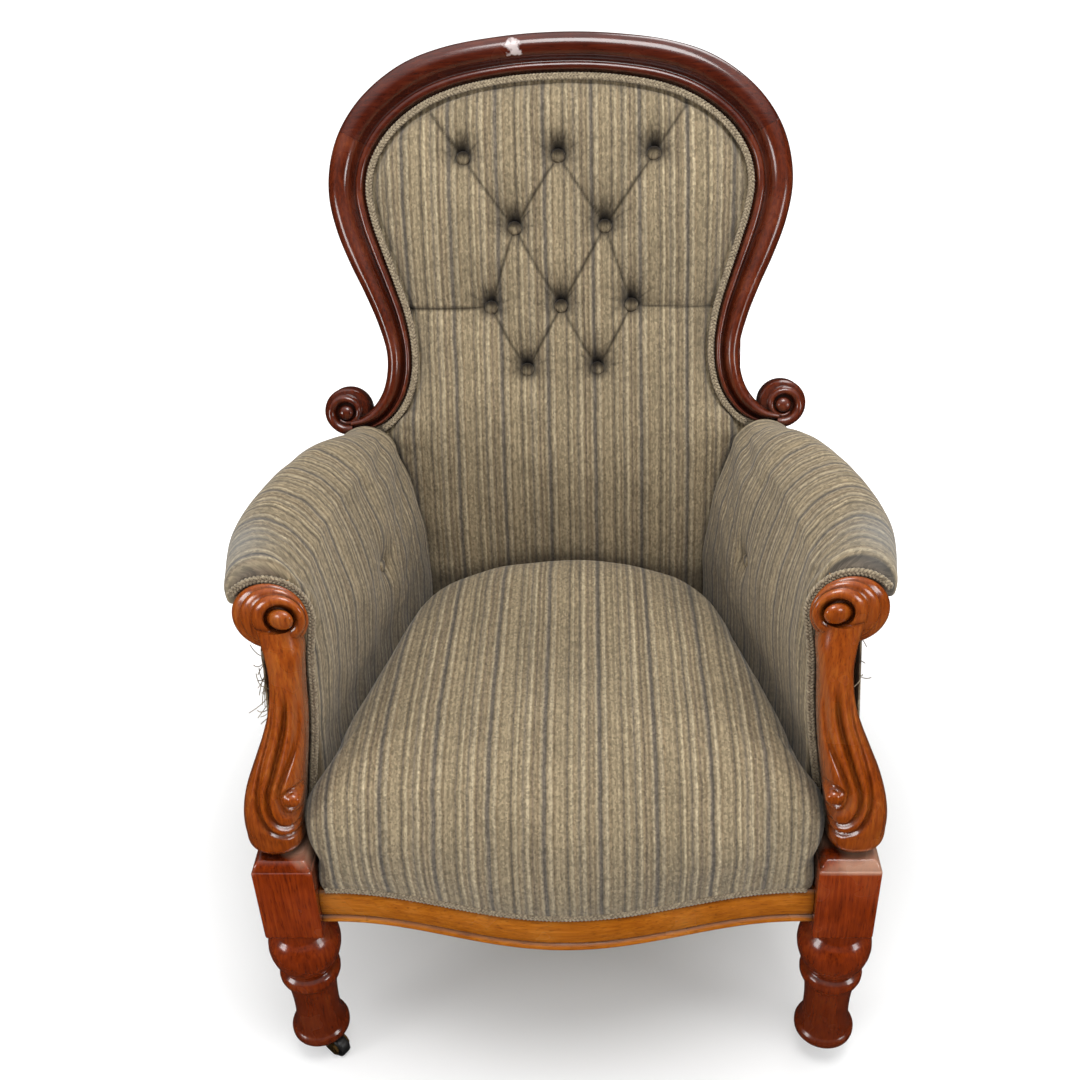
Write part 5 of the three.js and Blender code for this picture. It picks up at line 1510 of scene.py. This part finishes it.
def strand_mesh(name, lines, radius):
    """Round strands along lines in millimetres, as one mesh."""
    bpy.ops.object.select_all(action="DESELECT")
    bpy.ops.curve.primitive_bezier_curve_add()
    strands = bpy.context.object
    strands.name = name
    strands.data.splines.clear()
    for line in lines:
        spline = strands.data.splines.new("POLY")
        spline.points.add(len(line) - 1)
        spline.points.foreach_set("co", np.column_stack([to_frame(line), np.ones(len(line))]).ravel())
    strands.data.bevel_depth = radius / 1000
    strands.data.bevel_resolution = 1
    strands.data.use_fill_caps = True
    bpy.ops.object.convert(target="MESH")
    mesh = bpy.context.object
    mesh.data.name = name
    return mesh


def plaited(name, path, up, node, frayed=None):
    """Three plaited strands along a path in millimetres; up points away from what it is glued to."""
    lengths = lengths_along(path)
    at = np.arange(0, lengths[-1], PLAIT_PITCH / 9)
    middle = np.column_stack([np.interp(at, lengths, path[:, i]) for i in range(3)])
    above = np.tile(np.asarray(up, float), (len(at), 1))
    travel = np.gradient(middle, axis=0)
    beside = np.cross(above, travel)
    beside /= np.linalg.norm(beside, axis=1)[:, None]
    lines = []
    for third in range(3):
        phase = 2 * math.pi * (at / PLAIT_PITCH + third / 3)
        swing = beside * (PLAIT_SWING * np.sin(phase))[:, None]
        lines.append(middle + swing + above * (PLAIT_DIP * np.sin(2 * phase))[:, None])
    trim = strand_mesh(name, lines, STRAND)
    if frayed is not None:
        loose = strand_mesh("frayed", frayed, FRAYED)
        only(trim)
        loose.select_set(True)
        bpy.ops.object.join()
    return dressed(trim, braid, [node], crease=80)


# %% Gimp round the back and along the seat
GIMP_SEAT = GIMP_RADIUS + 0.6
gimp_x, gimp_w = hoop_edge(np.linspace(0.026, 0.974, 500), 0.5, GIMP_SEAT)
outward = (0, -math.cos(BACK_RAKE), math.sin(BACK_RAKE))
plaited("gimp_back", back_point(gimp_x, gimp_w, np.full(500, 4.2)), outward, "back_gimp")

gimp_x = np.linspace(-RAIL_HALF + 8, RAIL_HALF - 8, 300)
seat_path = level_ring(gimp_x, front_rail_y(gimp_x) + 1.8, RAIL_TOP + GIMP_SEAT)
plaited("gimp_seat", seat_path, (0, -1.0, 0.15), "seat_gimp")

# %% Gimp and frayed ends at the arms
ARCH_RADIUS, ARCH_INSET = 42.7, 2
FRAYS, FRAY_SEED = {"right": 16, "left": 60}, 77
rises = np.linspace(20, 236, 60)
stem_x = through(SUPPORT[:, 0], SUPPORT[:, 2], rises) - GIMP_RADIUS + 1
stem_z = SUPPORT_BOTTOM + FIT + rises
angles = np.linspace(1.02, 0.2, 40) * math.pi
arch_x = VOLUTE_X - ARCH_INSET + ARCH_RADIUS * np.cos(angles)
arch_z = VOLUTE_Z + ARCH_RADIUS * np.sin(angles)
arm_x = np.concatenate([stem_x[:-6], arch_x])
arm_z = np.concatenate([stem_z[:-6], arch_z])


def frayed_edge(side, count, seed):
    """Loose ends along the front edge of the outside arm, where its tacks have let go."""
    chance = np.random.default_rng(seed)
    lines = []
    for rise in chance.uniform(0.25, 0.9, count):
        start = np.array(arm_panel_point(0, rise)) + (0, -0.5, 0)
        reach = chance.uniform(4, 15)
        ahead = chance.normal((0.55, -0.5, -0.5), 0.45)
        curl = chance.normal(0, 0.5, 3)
        steps = np.linspace(0, 1, 8)[:, None]
        lines.append((start + reach * (steps * ahead + steps**2 * curl)) * (side, 1, 1))
    return lines


for word, side in SIDES:
    arm_path = np.column_stack([side * arm_x, support_back(arm_z) - GIMP_RADIUS + 1.2, arm_z])
    loose_ends = frayed_edge(side, FRAYS[word], FRAY_SEED)
    plaited("gimp_arm_" + word, arm_path, (0, -1.0, 0.1), "arm_gimp_" + word, loose_ends)

# %% [markdown]
# ## Castors
# Four small castors let the chair roll. The wheels are turned iron with a rounded tread; each rides on
# its own wheel body, so it spins and swivels. Forks, plates, springs, web and hidden rails keep their
# solids and only take a finish.

# %% Wheels
WHEEL_R, TRAIL = 12.946, 25
REAR_X, REAR_Y = 232, 570.169
# Name, place of the pivot, and the way the castor trails, in degrees
CASTORS = [
    ("front_right", LEG_X, LEG_Y, 100),
    ("front_left", -LEG_X, LEG_Y, -35),
    ("rear_right", REAR_X, REAR_Y, 90),
    ("rear_left", -REAR_X, REAR_Y, 90),
]
TREAD = [(3.4, -6.5), (8.6, -6.5), (9.4, -5.6), (10.6, -5.6), (11.6, -6.3), (12.5, -5.6), (12.9, -4)]
TREAD = TREAD + [(WHEEL_R, 0)] + [(r, -a) for r, a in TREAD[::-1]]
for word, pivot_x, pivot_y, heading in CASTORS:
    ahead = np.array([math.cos(math.radians(heading)), math.sin(math.radians(heading)), 0])
    axis = np.array([-ahead[1], ahead[0], 0])
    hub = np.array([pivot_x, pivot_y, WHEEL_R]) + TRAIL * ahead
    wheel = drawn_out("wheel_turned_" + word, turned(TREAD, hub, axis, ahead, UP, 44))
    dressed(wheel, iron, ["castor_wheel_" + word], body="wheel_" + word, crease=45)

# %% Solids that stay
KEPT = {
    "castor_plate_": brass, "castor_fork_": brass, "seat_spring_": wire, "seat_webbing": jute,
    "back_rail": beech, "side_rail_": beech, "arm_rail_": beech,
}
for name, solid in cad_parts.items():
    for start, material in KEPT.items():
        if name.startswith(start):
            solid.data.materials.clear()
            solid.data.materials.append(material)
print("solids still showing:", sorted(n for n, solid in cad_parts.items() if not solid.hide_render))
